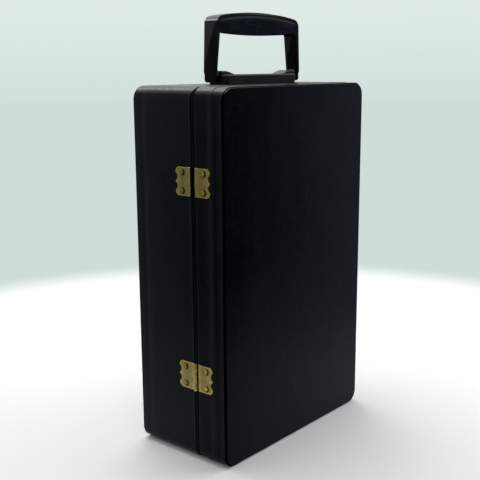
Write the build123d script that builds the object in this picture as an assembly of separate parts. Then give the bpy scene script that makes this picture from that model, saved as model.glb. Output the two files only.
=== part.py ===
from build123d import *
import os

# Portable bar case: two covered wooden half shells on a pair of stamped brass hinges.
# The origin is under the middle of the closed case, on the floor.
# +X points to the latch side, -Y to the shallow half's wide face, and +Z up.

# Outside of the closed case
CASE_WIDTH = 239.0
CASE_HEIGHT = 381.0
CASE_DEPTH = 122.0
LID_DEPTH = 39.0
CORNER_RADIUS = 14.0
SMALLEST_RADIUS = 2.0
SEAM_GAP = 0.8

# Covering and boards
COVER_THICKNESS = 1.2
BAND_THICKNESS = 0.8
BAND_DEPTH = 15.5
FACE_COVER = 0.8
FACE_INSET = 1.6
FACE_EDGE_RADIUS = 0.5
CREASE_DEPTH = 1.6
CREASE_SKIN = 0.5
SEAM_COVER = 0.7
SEAM_ROLL = 2.4
FRAME_WALL = 6.5
BOARD_FLANGE = 1.0
BOARD_PLUG = 3.0
BOARD_FIT = 0.2
LINING_THICKNESS = 1.0

# Locating lip inside the seam
LIP_WALL = 1.6
LIP_REACH = 5.0
LIP_HOLD = 6.0
LIP_CLEARANCE = 0.4

# Fittings inside the deep half
DIVIDER_THICKNESS = 4.0
CENTRE_BAY_WIDTH = 54.0
SHELF_HEIGHT = 150.0
SHELF_THICKNESS = 4.0
FENCE_THICKNESS = 3.0
CUP_FENCE_HEIGHT = 40.0
TOOL_FENCE_HEIGHT = 30.0
FENCE_DIP = 8.0
FENCE_DIP_RADIUS = 38.0
FITTING_GAP = 0.1
STRAP_THICKNESS = 1.6
STRAP_WIDTH = 30.0
STRAP_HEIGHT = 125.0
STRAP_TAB = 14.0
STRAP_BULGE = 8.0
STRAP_SET_BACK = 10.0
STUD_RADIUS = 4.0
STUD_REACH = 8.4
STUD_HEIGHT = 1.4
STUD_SHANK = 1.2
STUD_DEPTH = 2.0

# Fittings inside the shallow half
TOOL_BOARD_THICKNESS = 3.0
TOOL_BOARD_MARGIN = 12.0
TOOL_BOARD_RADIUS = 8.0
LOOP_COUNT = 5
LOOP_SPAN = 26.0
LOOP_RISE = 11.0
LOOP_FLAT = 9.0
LOOP_TAPE = 1.2
LOOP_WIDTH = 20.0
LOOP_HEIGHTS = (125.0, 255.0)
RIVET_RADIUS = 2.2
RIVET_HEIGHT = 0.9
RIVET_SHANK = 0.9
RIVET_DEPTH = 2.0

# Brass plates, shared by the hinges and the catches
PLATE_THICKNESS = 0.9
PLATE_HEIGHT = 28.5
PLATE_REACH = 22.75
PLATE_CORNER = 3.0
SCALLOP_RADIUS = 5.4
SCALLOP_BITE = 1.7
SCALLOP_SPACING = 8.6
SCREW_RADIUS = 1.2
SCREW_LENGTH = 5.5
SCREW_HEAD_RADIUS = 2.6
SCREW_HEAD_HEIGHT = 0.8
SCREW_DOME = 0.55
SCREW_FIT = 0.05
SCREW_REACH = 14.0
SCREW_SPACING = 18.0
SLOT_WIDTH = 0.7
SLOT_DEPTH = 0.4
PIN_RADIUS = 1.0
PIN_FIT = 0.05
FITTING_SPACING = 198.8

# Hinges
BARREL_RADIUS = 2.1
HINGE_AXIS_OUT = 1.2
LEAF_START = 2.8
KNUCKLE_LENGTH = 9.2
KNUCKLE_GAP = 0.3

# Draw catches on the side opposite the hinges
CATCH_PLATE_START = 3.0
CATCH_PLATE_LENGTH = 28.0
CATCH_SCREW_REACH = 24.0
CATCH_SCREW_SPACING = 21.6
PIVOT_REACH = 9.0
PIVOT_OUT = 4.8
LUG_INNER = 5.2
LUG_THICKNESS = 1.0
LUG_RADIUS = 1.9
LUG_TOE = 1.2
CATCH_CLEARANCE = 0.3
LEVER_SHEET = 0.8
LEVER_TOP_OUT = 7.0
LEVER_WEB_SETBACK = 2.2
LEVER_TIP = 29.0
LEVER_EYE_RADIUS = 2.2
LEVER_FLANGE_TOP_END = 21.5
LEVER_FLANGE_END = 17.0
LEVER_FLANGE_OUT = 1.25
LIP_RISE = 2.6
LOOP_PIVOT_REACH = 15.0
LOOP_PIVOT_OUT = 2.5
LOOP_EYE_RADIUS = 2.2
WIRE_RADIUS = 0.7
WIRE_BEND = 2.0
WIRE_END_BEND = 0.9
WIRE_FIT = 0.05
BAR_REACH = 9.0
BAR_TO_TONGUE = 0.8
TONGUE_HALF_WIDTH = 4.4
TONGUE_THICKNESS = 1.0
TONGUE_TOE = 0.6
TONGUE_RISE = 4.2
KEEPER_LENGTH = 25.0
KEEPER_SCREW_REACH = 20.0

# Handle
BASE_LENGTH = 120.0
BASE_WIDTH = 25.0
BASE_HEIGHT = 10.0
BASE_CORNER = 6.0
BASE_EDGE = 1.2
EAR_RISE = 3.7
EAR_LENGTH = 7.5
EAR_RAMP = 12.5
EAR_WIDTH = 15.0
EAR_EDGE = 1.2
HANDLE_PIN_RADIUS = 2.2
HANDLE_PIN_DEPTH = 9.0
HANDLE_PIN_END = 2.3
PIVOT_HEIGHT = 8.6
BOSS_RADIUS = 6.3
BOSS_GAP = 0.35
BOSS_LENGTH = 7.15
FOOT_HALF_WIDTH = 7.2
FOOT_CORNER = 3.4
SHOULDER_START = 1.0
SHOULDER_END = 4.0
LEG_LEAN = 4.3
LEG_FOOT_THICKNESS = 4.2
LEG_TOP_THICKNESS = 6.0
LEG_ROOF_TOP = 2.3
LEG_ROOF_MEET = 35.0
LEG_ROOF_SLOPE = 0.14
GRIP_TOP_END = 66.5
GRIP_CROWN = 6.0
GRIP_UNDER_END = 52.2
GRIP_UNDER_DIP = 2.6
GRIP_WIDTH = 17.0
GRIP_CORNER = 10.0
GRIP_INNER_CORNER = 3.2
GRIP_TOP_BEVEL = 2.4
OPENING_BEVEL_BACK = 3.0
OPENING_BEVEL_SIDE = 1.4
HANDLE_SCREW_SPACING = 66.0
HANDLE_SCREW_RADIUS = 2.0
HANDLE_SCREW_HEAD = 4.0
HANDLE_SCREW_HEAD_HEIGHT = 1.8
HANDLE_SCREW_DOME = 0.9
HANDLE_SCREW_SINK = 2.2
HANDLE_SCREW_LENGTH = 12.0

# Places worked out from the sizes above
HALF_WIDTH = CASE_WIDTH / 2
LID_FACE_Y = -CASE_DEPTH / 2
BODY_FACE_Y = CASE_DEPTH / 2
SEAM_Y = LID_FACE_Y + LID_DEPTH
BODY_DEPTH = CASE_DEPTH - LID_DEPTH
BOARD_BACK = FACE_COVER + BOARD_FLANGE + BOARD_PLUG
FRAME_FRONT = FACE_COVER + BOARD_FLANGE
FRAME_INSIDE = COVER_THICKNESS + FRAME_WALL
LINING_INSIDE = FRAME_INSIDE + LINING_THICKNESS
LINING_FLOOR = BOARD_BACK + LINING_THICKNESS
HINGE_X = -HALF_WIDTH - HINGE_AXIS_OUT
DIVIDER_FACE = CENTRE_BAY_WIDTH / 2
DIVIDER_FRONT_Y = SEAM_Y + LIP_HOLD + FITTING_GAP
INNER_BACK_Y = BODY_FACE_Y - LINING_FLOOR
FLOOR_Z = LINING_INSIDE
CEILING_Z = CASE_HEIGHT - LINING_INSIDE
FITTING_HEIGHTS = (
    CASE_HEIGHT / 2 - FITTING_SPACING / 2,
    CASE_HEIGHT / 2 + FITTING_SPACING / 2,
)
FITTING_NAMES = ("lower", "upper")
LEVER_INSIDE = LUG_INNER + LUG_THICKNESS + CATCH_CLEARANCE
LEVER_OUTSIDE = LEVER_INSIDE + LEVER_SHEET
FOOT_INSIDE = BASE_LENGTH / 2 + BOSS_GAP + BOSS_LENGTH
FOOT_OUTSIDE = FOOT_INSIDE + LEG_FOOT_THICKNESS
GRIP_OUTSIDE = FOOT_OUTSIDE - LEG_LEAN
GRIP_INSIDE = GRIP_OUTSIDE - LEG_TOP_THICKNESS


def slab(inset, y_start, y_end):
    """A plate of the case's rounded outline, drawn in by inset, between two depths."""
    radius = max(CORNER_RADIUS - inset, SMALLEST_RADIUS)
    plane = Plane(origin=(0, min(y_start, y_end), CASE_HEIGHT / 2), x_dir=(1, 0, 0), z_dir=(0, 1, 0))
    outline = RectangleRounded(CASE_WIDTH - 2 * inset, CASE_HEIGHT - 2 * inset, radius)
    return extrude(plane * outline, abs(y_end - y_start))


def ring(outer_inset, inner_inset, y_start, y_end):
    """The wall between two insets of the case's outline."""
    return slab(outer_inset, y_start, y_end) - slab(inner_inset, y_start, y_end)


def block(x_range, y_range, z_range):
    """A plain box between two places on each axis."""
    lengths = [high - low for low, high in (x_range, y_range, z_range)]
    centre = [(high + low) / 2 for low, high in (x_range, y_range, z_range)]
    return Pos(*centre) * Box(*lengths)


def rim_edges(solid, y_place):
    """The outer rim of a slab or ring at one depth."""
    level = solid.faces().filter_by(Axis.Y).filter_by(lambda face: abs(face.center().Y - y_place) < 1e-4)
    return level.sort_by(SortBy.AREA)[-1].outer_wire().edges()


# One half shell. Depth is measured inwards from its wide face, so both halves share the code.


def half_shell(face_y, inward, depth):
    """The frame, board, coverings and lining of one half, by name."""

    def at(distance):
        return face_y + inward * distance

    cover_end = depth - SEAM_GAP / 2
    frame_end = cover_end - SEAM_COVER
    frame = ring(COVER_THICKNESS, FRAME_INSIDE, at(FRAME_FRONT), at(frame_end))
    frame = fillet(rim_edges(frame, at(frame_end)), SEAM_ROLL - COVER_THICKNESS)

    board_inset = COVER_THICKNESS + CREASE_SKIN
    flange = slab(board_inset, at(FACE_COVER), at(FRAME_FRONT))
    plug = slab(FRAME_INSIDE + BOARD_FIT, at(FRAME_FRONT), at(BOARD_BACK))
    board = flange + plug

    face_skin = slab(FACE_INSET, at(0), at(FACE_COVER))
    face_skin = fillet(rim_edges(face_skin, at(0)), FACE_EDGE_RADIUS)

    band_inset = COVER_THICKNESS - BAND_THICKNESS
    band = ring(band_inset, COVER_THICKNESS, at(CREASE_DEPTH), at(BAND_DEPTH))
    band = fillet(rim_edges(band, at(CREASE_DEPTH)), BAND_THICKNESS / 2)
    band += ring(COVER_THICKNESS, board_inset, at(FACE_COVER), at(FRAME_FRONT))

    side_cover = slab(0, at(BAND_DEPTH), at(cover_end))
    side_cover = fillet(rim_edges(side_cover, at(cover_end)), SEAM_ROLL)
    side_cover = side_cover - slab(FRAME_INSIDE, at(BAND_DEPTH), at(cover_end))
    side_cover = side_cover - frame

    lining = slab(FRAME_INSIDE, at(BOARD_BACK), at(cover_end))
    lining = lining - slab(LINING_INSIDE, at(LINING_FLOOR), at(cover_end))
    return {
        "frame": frame,
        "board": board,
        "face_covering": face_skin,
        "edge_band": band,
        "side_covering": side_cover,
        "lining": lining,
    }


def locating_lip():
    """The lip glued inside the deep half's mouth, which guides the shallow half shut."""
    held = ring(LINING_INSIDE, LINING_INSIDE + LIP_WALL, SEAM_Y + SEAM_GAP / 2, SEAM_Y + LIP_HOLD)
    free_inset = LINING_INSIDE + LIP_CLEARANCE
    free = ring(free_inset, LINING_INSIDE + LIP_WALL, SEAM_Y - LIP_REACH, SEAM_Y + SEAM_GAP / 2)
    return held + free


# Fittings inside the deep half


def divider(side):
    """One upright board between a bottle bay and the centre bay."""
    near = side * DIVIDER_FACE
    far = side * (DIVIDER_FACE + DIVIDER_THICKNESS)
    return block((min(near, far), max(near, far)), (DIVIDER_FRONT_Y, INNER_BACK_Y), (FLOOR_Z, CEILING_Z))


def centre_shelf():
    """The shelf across the centre bay, over the cup well."""
    top = SHELF_HEIGHT + SHELF_THICKNESS
    return block((-DIVIDER_FACE, DIVIDER_FACE), (DIVIDER_FRONT_Y, INNER_BACK_Y), (SHELF_HEIGHT, top))


def fence(bottom, height):
    """A low board across the front of the centre bay, dipped in the middle for the fingers."""
    board = block(
        (-DIVIDER_FACE, DIVIDER_FACE),
        (DIVIDER_FRONT_Y, DIVIDER_FRONT_Y + FENCE_THICKNESS),
        (bottom, bottom + height),
    )
    dip_middle = bottom + height - FENCE_DIP + FENCE_DIP_RADIUS
    return board - front_cylinder(
        FENCE_DIP_RADIUS, DIVIDER_FRONT_Y, DIVIDER_FRONT_Y + FENCE_THICKNESS, 0, dip_middle
    )


def strap_line():
    """Where a strap's tabs end: the lining's side wall and the divider's outer face."""
    return HALF_WIDTH - LINING_INSIDE, DIVIDER_FACE + DIVIDER_THICKNESS


def bottle_strap(side):
    """A strap across one bottle bay: a bow to the front with a tab at each end."""
    wall, post = strap_line()
    front = DIVIDER_FRONT_Y + STRAP_SET_BACK - STRAP_BULGE / 2
    back = front + STRAP_TAB
    middle = (wall + post) / 2
    outer = ThreePointArc((post, front), (middle, front - STRAP_BULGE), (wall, front))
    inner = ThreePointArc(
        (wall - STRAP_THICKNESS, front),
        (middle, front - STRAP_BULGE + STRAP_THICKNESS),
        (post + STRAP_THICKNESS, front),
    )
    wall_tab = Polyline((wall, front), (wall, back), (wall - STRAP_THICKNESS, back), (wall - STRAP_THICKNESS, front))
    post_tab = Polyline((post + STRAP_THICKNESS, front), (post + STRAP_THICKNESS, back), (post, back), (post, front))
    face = make_face(Curve() + [outer, wall_tab, inner, post_tab])
    strap = Pos(0, 0, STRAP_HEIGHT - STRAP_WIDTH / 2) * extrude(face, STRAP_WIDTH)
    return strap if side > 0 else mirror(strap, about=Plane.YZ)


def strap_stud_places():
    """Each stud's place on a tab and the way its shank points."""
    wall, post = strap_line()
    y_place = DIVIDER_FRONT_Y + STRAP_SET_BACK - STRAP_BULGE / 2 + STUD_REACH
    places = []
    for side in (-1, 1):
        places.append((side * (wall - STRAP_THICKNESS), y_place, side))
        places.append((side * (post + STRAP_THICKNESS), y_place, -side))
    return places


def side_cylinder(radius, x_start, x_end, y_place, z_place):
    """A round bar along X."""
    plane = Plane(origin=(min(x_start, x_end), y_place, z_place), z_dir=(1, 0, 0))
    return extrude(plane * Circle(radius), abs(x_end - x_start))


def front_cylinder(radius, y_start, y_end, x_place, z_place):
    """A round bar along Y."""
    plane = Plane(origin=(x_place, min(y_start, y_end), z_place), z_dir=(0, 1, 0))
    return extrude(plane * Circle(radius), abs(y_end - y_start))


def upright_cylinder(radius, z_start, z_end, x_place, y_place):
    """A round bar along Z."""
    return Pos(x_place, y_place, z_start) * extrude(Circle(radius), z_end - z_start)


def strap_studs():
    """The press studs that hold the straps' tabs."""
    studs = []
    for x_face, y_place, way in strap_stud_places():
        head = side_cylinder(STUD_RADIUS, x_face - way * STUD_HEIGHT, x_face, y_place, STRAP_HEIGHT)
        head = fillet(head.edges().filter_by(GeomType.CIRCLE).sort_by(Axis.X)[0 if way > 0 else -1], STUD_HEIGHT / 2)
        shank_end = x_face + way * (STRAP_THICKNESS + STUD_DEPTH)
        studs.append(head + side_cylinder(STUD_SHANK, x_face, shank_end, y_place, STRAP_HEIGHT))
    return studs


def strap_stud_holes():
    """Room for the studs' shanks through the tabs and into the wood."""
    holes = Part()
    for x_face, y_place, way in strap_stud_places():
        end = x_face + way * (STRAP_THICKNESS + STUD_DEPTH + FITTING_GAP)
        holes += side_cylinder(STUD_SHANK + SCREW_FIT, x_face, end, y_place, STRAP_HEIGHT)
    return holes


# Fittings inside the shallow half


def tool_board():
    """The covered board on the shallow half's inner face."""
    width = CASE_WIDTH - 2 * (LINING_INSIDE + TOOL_BOARD_MARGIN)
    height = CASE_HEIGHT - 2 * (LINING_INSIDE + TOOL_BOARD_MARGIN)
    plane = Plane(origin=(0, LID_FACE_Y + LINING_FLOOR, CASE_HEIGHT / 2), x_dir=(1, 0, 0), z_dir=(0, 1, 0))
    return extrude(plane * RectangleRounded(width, height, TOOL_BOARD_RADIUS), TOOL_BOARD_THICKNESS)


def loop_flat_centres():
    """The middles of the flats where a loop tape is riveted down."""
    pitch = LOOP_SPAN + LOOP_FLAT
    first = -pitch * LOOP_COUNT / 2
    return [first + pitch * index for index in range(LOOP_COUNT + 1)]


def loop_bow(centre, shrink):
    """The filled bow of one loop, drawn in by shrink."""
    half = LOOP_SPAN / 2 - shrink
    rise = LOOP_RISE - shrink
    arc = ThreePointArc((centre - half, 0), (centre, rise), (centre + half, 0))
    return make_face(Curve() + [arc, Line((centre + half, 0), (centre - half, 0))])


def tool_loops(height):
    """One tape across the tool board, bowed out between rivets to hold tool shanks."""
    flats = loop_flat_centres()
    length = flats[-1] - flats[0] + LOOP_FLAT
    outline = Pos(0, LOOP_TAPE / 2) * Rectangle(length, LOOP_TAPE)
    for start, end in zip(flats, flats[1:]):
        outline += loop_bow((start + end) / 2, 0)
    for start, end in zip(flats, flats[1:]):
        outline -= loop_bow((start + end) / 2, LOOP_TAPE)
    surface = LID_FACE_Y + LINING_FLOOR + TOOL_BOARD_THICKNESS
    tape = Pos(0, surface, height - LOOP_WIDTH / 2) * extrude(outline, LOOP_WIDTH)
    for centre in flats:
        tape -= front_cylinder(RIVET_SHANK + SCREW_FIT, surface, surface + LOOP_TAPE, centre, height)
    return tape


def loop_rivets():
    """The domed rivets at the flats of both tapes."""
    surface = LID_FACE_Y + LINING_FLOOR + TOOL_BOARD_THICKNESS
    rivets = []
    for height in LOOP_HEIGHTS:
        for centre in loop_flat_centres():
            top = surface + LOOP_TAPE + RIVET_HEIGHT
            head = front_cylinder(RIVET_RADIUS, surface + LOOP_TAPE, top, centre, height)
            head = chamfer(head.edges().filter_by(GeomType.CIRCLE).sort_by(Axis.Y)[-1], RIVET_HEIGHT / 2)
            shank = front_cylinder(RIVET_SHANK, surface - RIVET_DEPTH, surface + LOOP_TAPE, centre, height)
            rivets.append(head + shank)
    return rivets


def rivet_holes():
    """Room for the rivets' shanks in the tool board."""
    surface = LID_FACE_Y + LINING_FLOOR + TOOL_BOARD_THICKNESS
    holes = Part()
    for height in LOOP_HEIGHTS:
        for centre in loop_flat_centres():
            start = surface - RIVET_DEPTH - FITTING_GAP
            holes += front_cylinder(RIVET_SHANK + SCREW_FIT, start, surface, centre, height)
    return holes


# Brass plates. A plate is drawn flat, its reach away from the seam along X and its height along Y.


def plate_outline(start, reach):
    """A plate with rounded outer corners and two shallow bites that leave a cusp between them."""
    outline = Pos((start + reach) / 2, 0) * Rectangle(reach - start, PLATE_HEIGHT)
    outline = fillet(outline.vertices().sort_by(Axis.X)[-2:], PLATE_CORNER)
    for side in (-1, 1):
        bite_centre = (reach + SCALLOP_RADIUS - SCALLOP_BITE, side * SCALLOP_SPACING / 2)
        outline -= Pos(*bite_centre) * Circle(SCALLOP_RADIUS)
    return outline


def side_plane(x_place, height, side, half):
    """A plane on a narrow side: its X runs away from the seam, its normal out of the case."""
    return Plane(origin=(x_place, SEAM_Y, height), x_dir=(0, half, 0), z_dir=(side, 0, 0))


def brass_plate(side, half, height, start, reach, screw_reach, screw_spacing):
    """A plate lying on a narrow side of the case, with its two screw holes."""
    plane = side_plane(side * HALF_WIDTH, height, side, half)
    plate = extrude(plane * plate_outline(start, reach), PLATE_THICKNESS)
    for z_side in (-1, 1):
        hole = Pos(screw_reach, z_side * screw_spacing / 2) * Circle(SCREW_RADIUS + SCREW_FIT)
        plate -= extrude(plane * hole, PLATE_THICKNESS)
    return plate


def plate_screw(side, half, height, screw_reach, screw_spacing, z_side):
    """A round-headed wood screw through a brass plate."""
    y_place = SEAM_Y + half * screw_reach
    z_place = height + z_side * screw_spacing / 2
    seat = side * (HALF_WIDTH + PLATE_THICKNESS)
    head = side_cylinder(SCREW_HEAD_RADIUS, seat, seat + side * SCREW_HEAD_HEIGHT, y_place, z_place)
    rim = head.edges().filter_by(GeomType.CIRCLE).sort_by(Axis.X)[0 if side < 0 else -1]
    head = fillet(rim, SCREW_DOME)
    top = seat + side * SCREW_HEAD_HEIGHT
    slot_x = (min(top, top - side * SLOT_DEPTH), max(top, top - side * SLOT_DEPTH))
    slot_y = (y_place - SCREW_HEAD_RADIUS, y_place + SCREW_HEAD_RADIUS)
    slot = block(slot_x, slot_y, (z_place - SLOT_WIDTH / 2, z_place + SLOT_WIDTH / 2))
    shank = side_cylinder(SCREW_RADIUS, seat, seat - side * SCREW_LENGTH, y_place, z_place)
    return head - slot + shank


def plate_screws(side, half, screw_reach, screw_spacing):
    """Both screws of both plates on one side of one half."""
    return [
        plate_screw(side, half, height, screw_reach, screw_spacing, z_side)
        for height in FITTING_HEIGHTS
        for z_side in (-1, 1)
    ]


def screw_holes(side, half, screw_reach, screw_spacing):
    """Room for those screws in the covering and the frame."""
    holes = Part()
    surface = side * (HALF_WIDTH + PLATE_THICKNESS)
    end = surface - side * (SCREW_LENGTH + FITTING_GAP)
    for height in FITTING_HEIGHTS:
        for z_side in (-1, 1):
            z_place = height + z_side * screw_spacing / 2
            y_place = SEAM_Y + half * screw_reach
            holes += side_cylinder(SCREW_RADIUS + SCREW_FIT, surface, end, y_place, z_place)
    return holes


# Hinges


def knuckle_spans(half):
    """The heights from the hinge's middle that one leaf's knuckles take up."""
    inner = PLATE_HEIGHT / 2 - KNUCKLE_LENGTH
    if half > 0:
        return [(-PLATE_HEIGHT / 2, -inner), (inner, PLATE_HEIGHT / 2)]
    return [(-inner + KNUCKLE_GAP, inner - KNUCKLE_GAP)]


def hinge_leaf(half, height):
    """One stamped leaf with its knuckles rolled round the pin."""
    leaf = brass_plate(-1, half, height, LEAF_START, PLATE_REACH, SCREW_REACH, SCREW_SPACING)
    for low, high in knuckle_spans(half):
        reach = (min(SEAM_Y, SEAM_Y + half * LEAF_START), max(SEAM_Y, SEAM_Y + half * LEAF_START))
        web_x = (-HALF_WIDTH - PLATE_THICKNESS, -HALF_WIDTH)
        leaf += block(web_x, reach, (height + low, height + high))
        leaf += upright_cylinder(BARREL_RADIUS, height + low, height + high, HINGE_X, SEAM_Y)
    bore_end = height + PLATE_HEIGHT / 2
    leaf -= upright_cylinder(PIN_RADIUS + PIN_FIT, height - PLATE_HEIGHT / 2, bore_end, HINGE_X, SEAM_Y)
    return leaf


def hinge_pins():
    """The two hinge pins, flush with the ends of the knuckles."""
    half = PLATE_HEIGHT / 2
    return [upright_cylinder(PIN_RADIUS, height - half, height + half, HINGE_X, SEAM_Y) for height in FITTING_HEIGHTS]


# Draw catches. Out is measured from the side's surface, reach from the seam towards the deep half.


def catch_x(out):
    return HALF_WIDTH + out


def catch_y(reach):
    return SEAM_Y + reach


def catch_sheet(points_out_reach, height, z_low, z_high):
    """A flat stamping on edge: an outline in out and reach, given a thickness along Z."""
    outline = Polyline(*[(catch_x(out), catch_y(reach)) for out, reach in points_out_reach], close=True)
    return Pos(0, 0, height + z_low) * extrude(make_face(outline), z_high - z_low)


def pivot_disc(radius, out, reach, height, z_low, z_high):
    """A round bar along Z at a place on a catch."""
    return upright_cylinder(radius, height + z_low, height + z_high, catch_x(out), catch_y(reach))


def catch_plate(height):
    """The catch's base plate with the two lugs that carry the lever's pin."""
    end = CATCH_PLATE_START + CATCH_PLATE_LENGTH
    plate = brass_plate(1, 1, height, CATCH_PLATE_START, end, CATCH_SCREW_REACH, CATCH_SCREW_SPACING)
    for side in (-1, 1):
        low, high = sorted((side * LUG_INNER, side * (LUG_INNER + LUG_THICKNESS)))
        foot = (
            (0, PIVOT_REACH - LUG_RADIUS),
            (PIVOT_OUT, PIVOT_REACH - LUG_RADIUS),
            (PIVOT_OUT, PIVOT_REACH + LUG_RADIUS),
            (0, PIVOT_REACH + LUG_RADIUS + LUG_TOE),
        )
        plate += catch_sheet(foot, height, low, high)
        plate += pivot_disc(LUG_RADIUS, PIVOT_OUT, PIVOT_REACH, height, low, high)
    return plate - pivot_disc(PIN_RADIUS + PIN_FIT, PIVOT_OUT, PIVOT_REACH, height, -LEVER_OUTSIDE, LEVER_OUTSIDE)


def catch_pins():
    """The pins that the levers turn on, flush with the levers' flanges."""
    return [
        pivot_disc(PIN_RADIUS, PIVOT_OUT, PIVOT_REACH, height, -LEVER_OUTSIDE, LEVER_OUTSIDE)
        for height in FITTING_HEIGHTS
    ]


def catch_lever(height):
    """The over-centre lever: a web with a turned-up finger lip, and a flange down each side to the pin."""
    top = LEVER_TOP_OUT + LEVER_SHEET
    web_start = PIVOT_REACH + LEVER_WEB_SETBACK
    web_points = (
        (LEVER_TOP_OUT, web_start),
        (top, web_start),
        (top, LEVER_TIP - LIP_RISE),
        (top + LIP_RISE, LEVER_TIP),
        (top + LIP_RISE - LEVER_SHEET, LEVER_TIP + LEVER_SHEET),
        (LEVER_TOP_OUT, LEVER_TIP - LIP_RISE + LEVER_SHEET),
    )
    lever = catch_sheet(web_points, height, -LEVER_OUTSIDE, LEVER_OUTSIDE)
    flange_points = (
        (PIVOT_OUT + LEVER_EYE_RADIUS, PIVOT_REACH),
        (LEVER_TOP_OUT, web_start),
        (top, web_start),
        (top, LEVER_FLANGE_TOP_END),
        (LEVER_FLANGE_OUT, LEVER_FLANGE_END),
        (LEVER_FLANGE_OUT, LOOP_PIVOT_REACH - LOOP_EYE_RADIUS),
        (PIVOT_OUT - LEVER_EYE_RADIUS, PIVOT_REACH),
    )
    for side in (-1, 1):
        low, high = sorted((side * LEVER_INSIDE, side * LEVER_OUTSIDE))
        lever += catch_sheet(flange_points, height, low, high)
        lever += pivot_disc(LEVER_EYE_RADIUS, PIVOT_OUT, PIVOT_REACH, height, low, high)
    reach = LEVER_OUTSIDE
    lever -= pivot_disc(PIN_RADIUS + PIN_FIT, PIVOT_OUT, PIVOT_REACH, height, -reach, reach)
    lever -= pivot_disc(WIRE_RADIUS + WIRE_FIT, LOOP_PIVOT_OUT, LOOP_PIVOT_REACH, height, -reach, reach)
    return lever


def catch_loop(height):
    """The wire loop from the lever's flanges to the keeper's tongue."""
    x_place = catch_x(LOOP_PIVOT_OUT)
    near, far = catch_y(LOOP_PIVOT_REACH), catch_y(-BAR_REACH)
    leg = LEVER_OUTSIDE + CATCH_CLEARANCE + WIRE_RADIUS
    path = FilletPolyline(
        (x_place, near, height - LEVER_INSIDE),
        (x_place, near, height - leg),
        (x_place, far, height - leg),
        (x_place, far, height + leg),
        (x_place, near, height + leg),
        (x_place, near, height + LEVER_INSIDE),
        radius=[WIRE_END_BEND, WIRE_BEND, WIRE_BEND, WIRE_END_BEND],
    )
    section = Plane(origin=path @ 0, z_dir=path % 0) * Circle(WIRE_RADIUS)
    return sweep(section, path=path)


def catch_keeper(height):
    """The shallow half's plate, with the upright tongue that the loop pulls on."""
    end = CATCH_PLATE_START + KEEPER_LENGTH
    plate = brass_plate(1, -1, height, CATCH_PLATE_START, end, KEEPER_SCREW_REACH, SCREW_SPACING)
    face = -BAR_REACH + WIRE_RADIUS + BAR_TO_TONGUE
    tongue_points = (
        (0, face),
        (PLATE_THICKNESS + TONGUE_RISE, face),
        (PLATE_THICKNESS + TONGUE_RISE, face + TONGUE_THICKNESS),
        (0, face + TONGUE_THICKNESS + TONGUE_TOE),
    )
    return plate + catch_sheet(tongue_points, height, -TONGUE_HALF_WIDTH, TONGUE_HALF_WIDTH)


# Handle


def handle_base():
    """The moulded base strip, with a raised ear set back from its edges at each end."""
    end = BASE_LENGTH / 2
    ear = end - EAR_LENGTH
    ramp = ear - EAR_RAMP
    top = BASE_HEIGHT + EAR_RISE
    width = BASE_WIDTH / 2
    base = block((-end, end), (-width, width), (CASE_HEIGHT, CASE_HEIGHT + BASE_HEIGHT))
    base = fillet(base.edges().filter_by(Axis.Z), BASE_CORNER)
    base = chamfer(base.faces().sort_by(Axis.Z)[-1].edges(), BASE_EDGE)
    for side in (-1, 1):
        profile = Plane.XZ * Polyline(
            (side * ramp, CASE_HEIGHT + BASE_HEIGHT - BASE_EDGE),
            (side * ramp, CASE_HEIGHT + BASE_HEIGHT),
            (side * ear, CASE_HEIGHT + top),
            (side * end, CASE_HEIGHT + top),
            (side * end, CASE_HEIGHT + BASE_HEIGHT - BASE_EDGE),
            close=True,
        )
        raised = extrude(make_face(profile), EAR_WIDTH / 2, both=True)
        raised = chamfer(raised.faces().sort_by(Axis.Z)[-1].edges().filter_by(Axis.X), EAR_EDGE)
        base += raised
        inner = side * (end - HANDLE_PIN_DEPTH - FITTING_GAP)
        base -= side_cylinder(HANDLE_PIN_RADIUS + PIN_FIT, side * end, inner, 0, CASE_HEIGHT + PIVOT_HEIGHT)
        x_place = side * HANDLE_SCREW_SPACING / 2
        sink = CASE_HEIGHT + BASE_HEIGHT - HANDLE_SCREW_SINK
        base -= upright_cylinder(HANDLE_SCREW_HEAD + SCREW_FIT, sink, CASE_HEIGHT + top, x_place, 0)
        base -= upright_cylinder(HANDLE_SCREW_RADIUS + SCREW_FIT, CASE_HEIGHT, sink, x_place, 0)
    return base


def handle_screws():
    """The two screws that hold the base to the deep half's frame."""
    screws = []
    for side in (-1, 1):
        x_place = side * HANDLE_SCREW_SPACING / 2
        seat = CASE_HEIGHT + BASE_HEIGHT - HANDLE_SCREW_SINK
        top = seat + HANDLE_SCREW_HEAD_HEIGHT
        head = upright_cylinder(HANDLE_SCREW_HEAD, seat, top, x_place, 0)
        head = fillet(head.edges().filter_by(GeomType.CIRCLE).sort_by(Axis.Z)[-1], HANDLE_SCREW_DOME)
        slot_x = (x_place - HANDLE_SCREW_HEAD, x_place + HANDLE_SCREW_HEAD)
        head -= block(slot_x, (-SLOT_WIDTH / 2, SLOT_WIDTH / 2), (top - SLOT_DEPTH, top))
        screws.append(head + upright_cylinder(HANDLE_SCREW_RADIUS, seat - HANDLE_SCREW_LENGTH, seat, x_place, 0))
    return screws


def handle_screw_holes():
    """Room for the handle's screws in the covering and the frame."""
    holes = Part()
    bottom = CASE_HEIGHT + BASE_HEIGHT - HANDLE_SCREW_SINK - HANDLE_SCREW_LENGTH - FITTING_GAP
    for side in (-1, 1):
        x_place = side * HANDLE_SCREW_SPACING / 2
        holes += upright_cylinder(HANDLE_SCREW_RADIUS + SCREW_FIT, bottom, CASE_HEIGHT, x_place, 0)
    return holes


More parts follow.
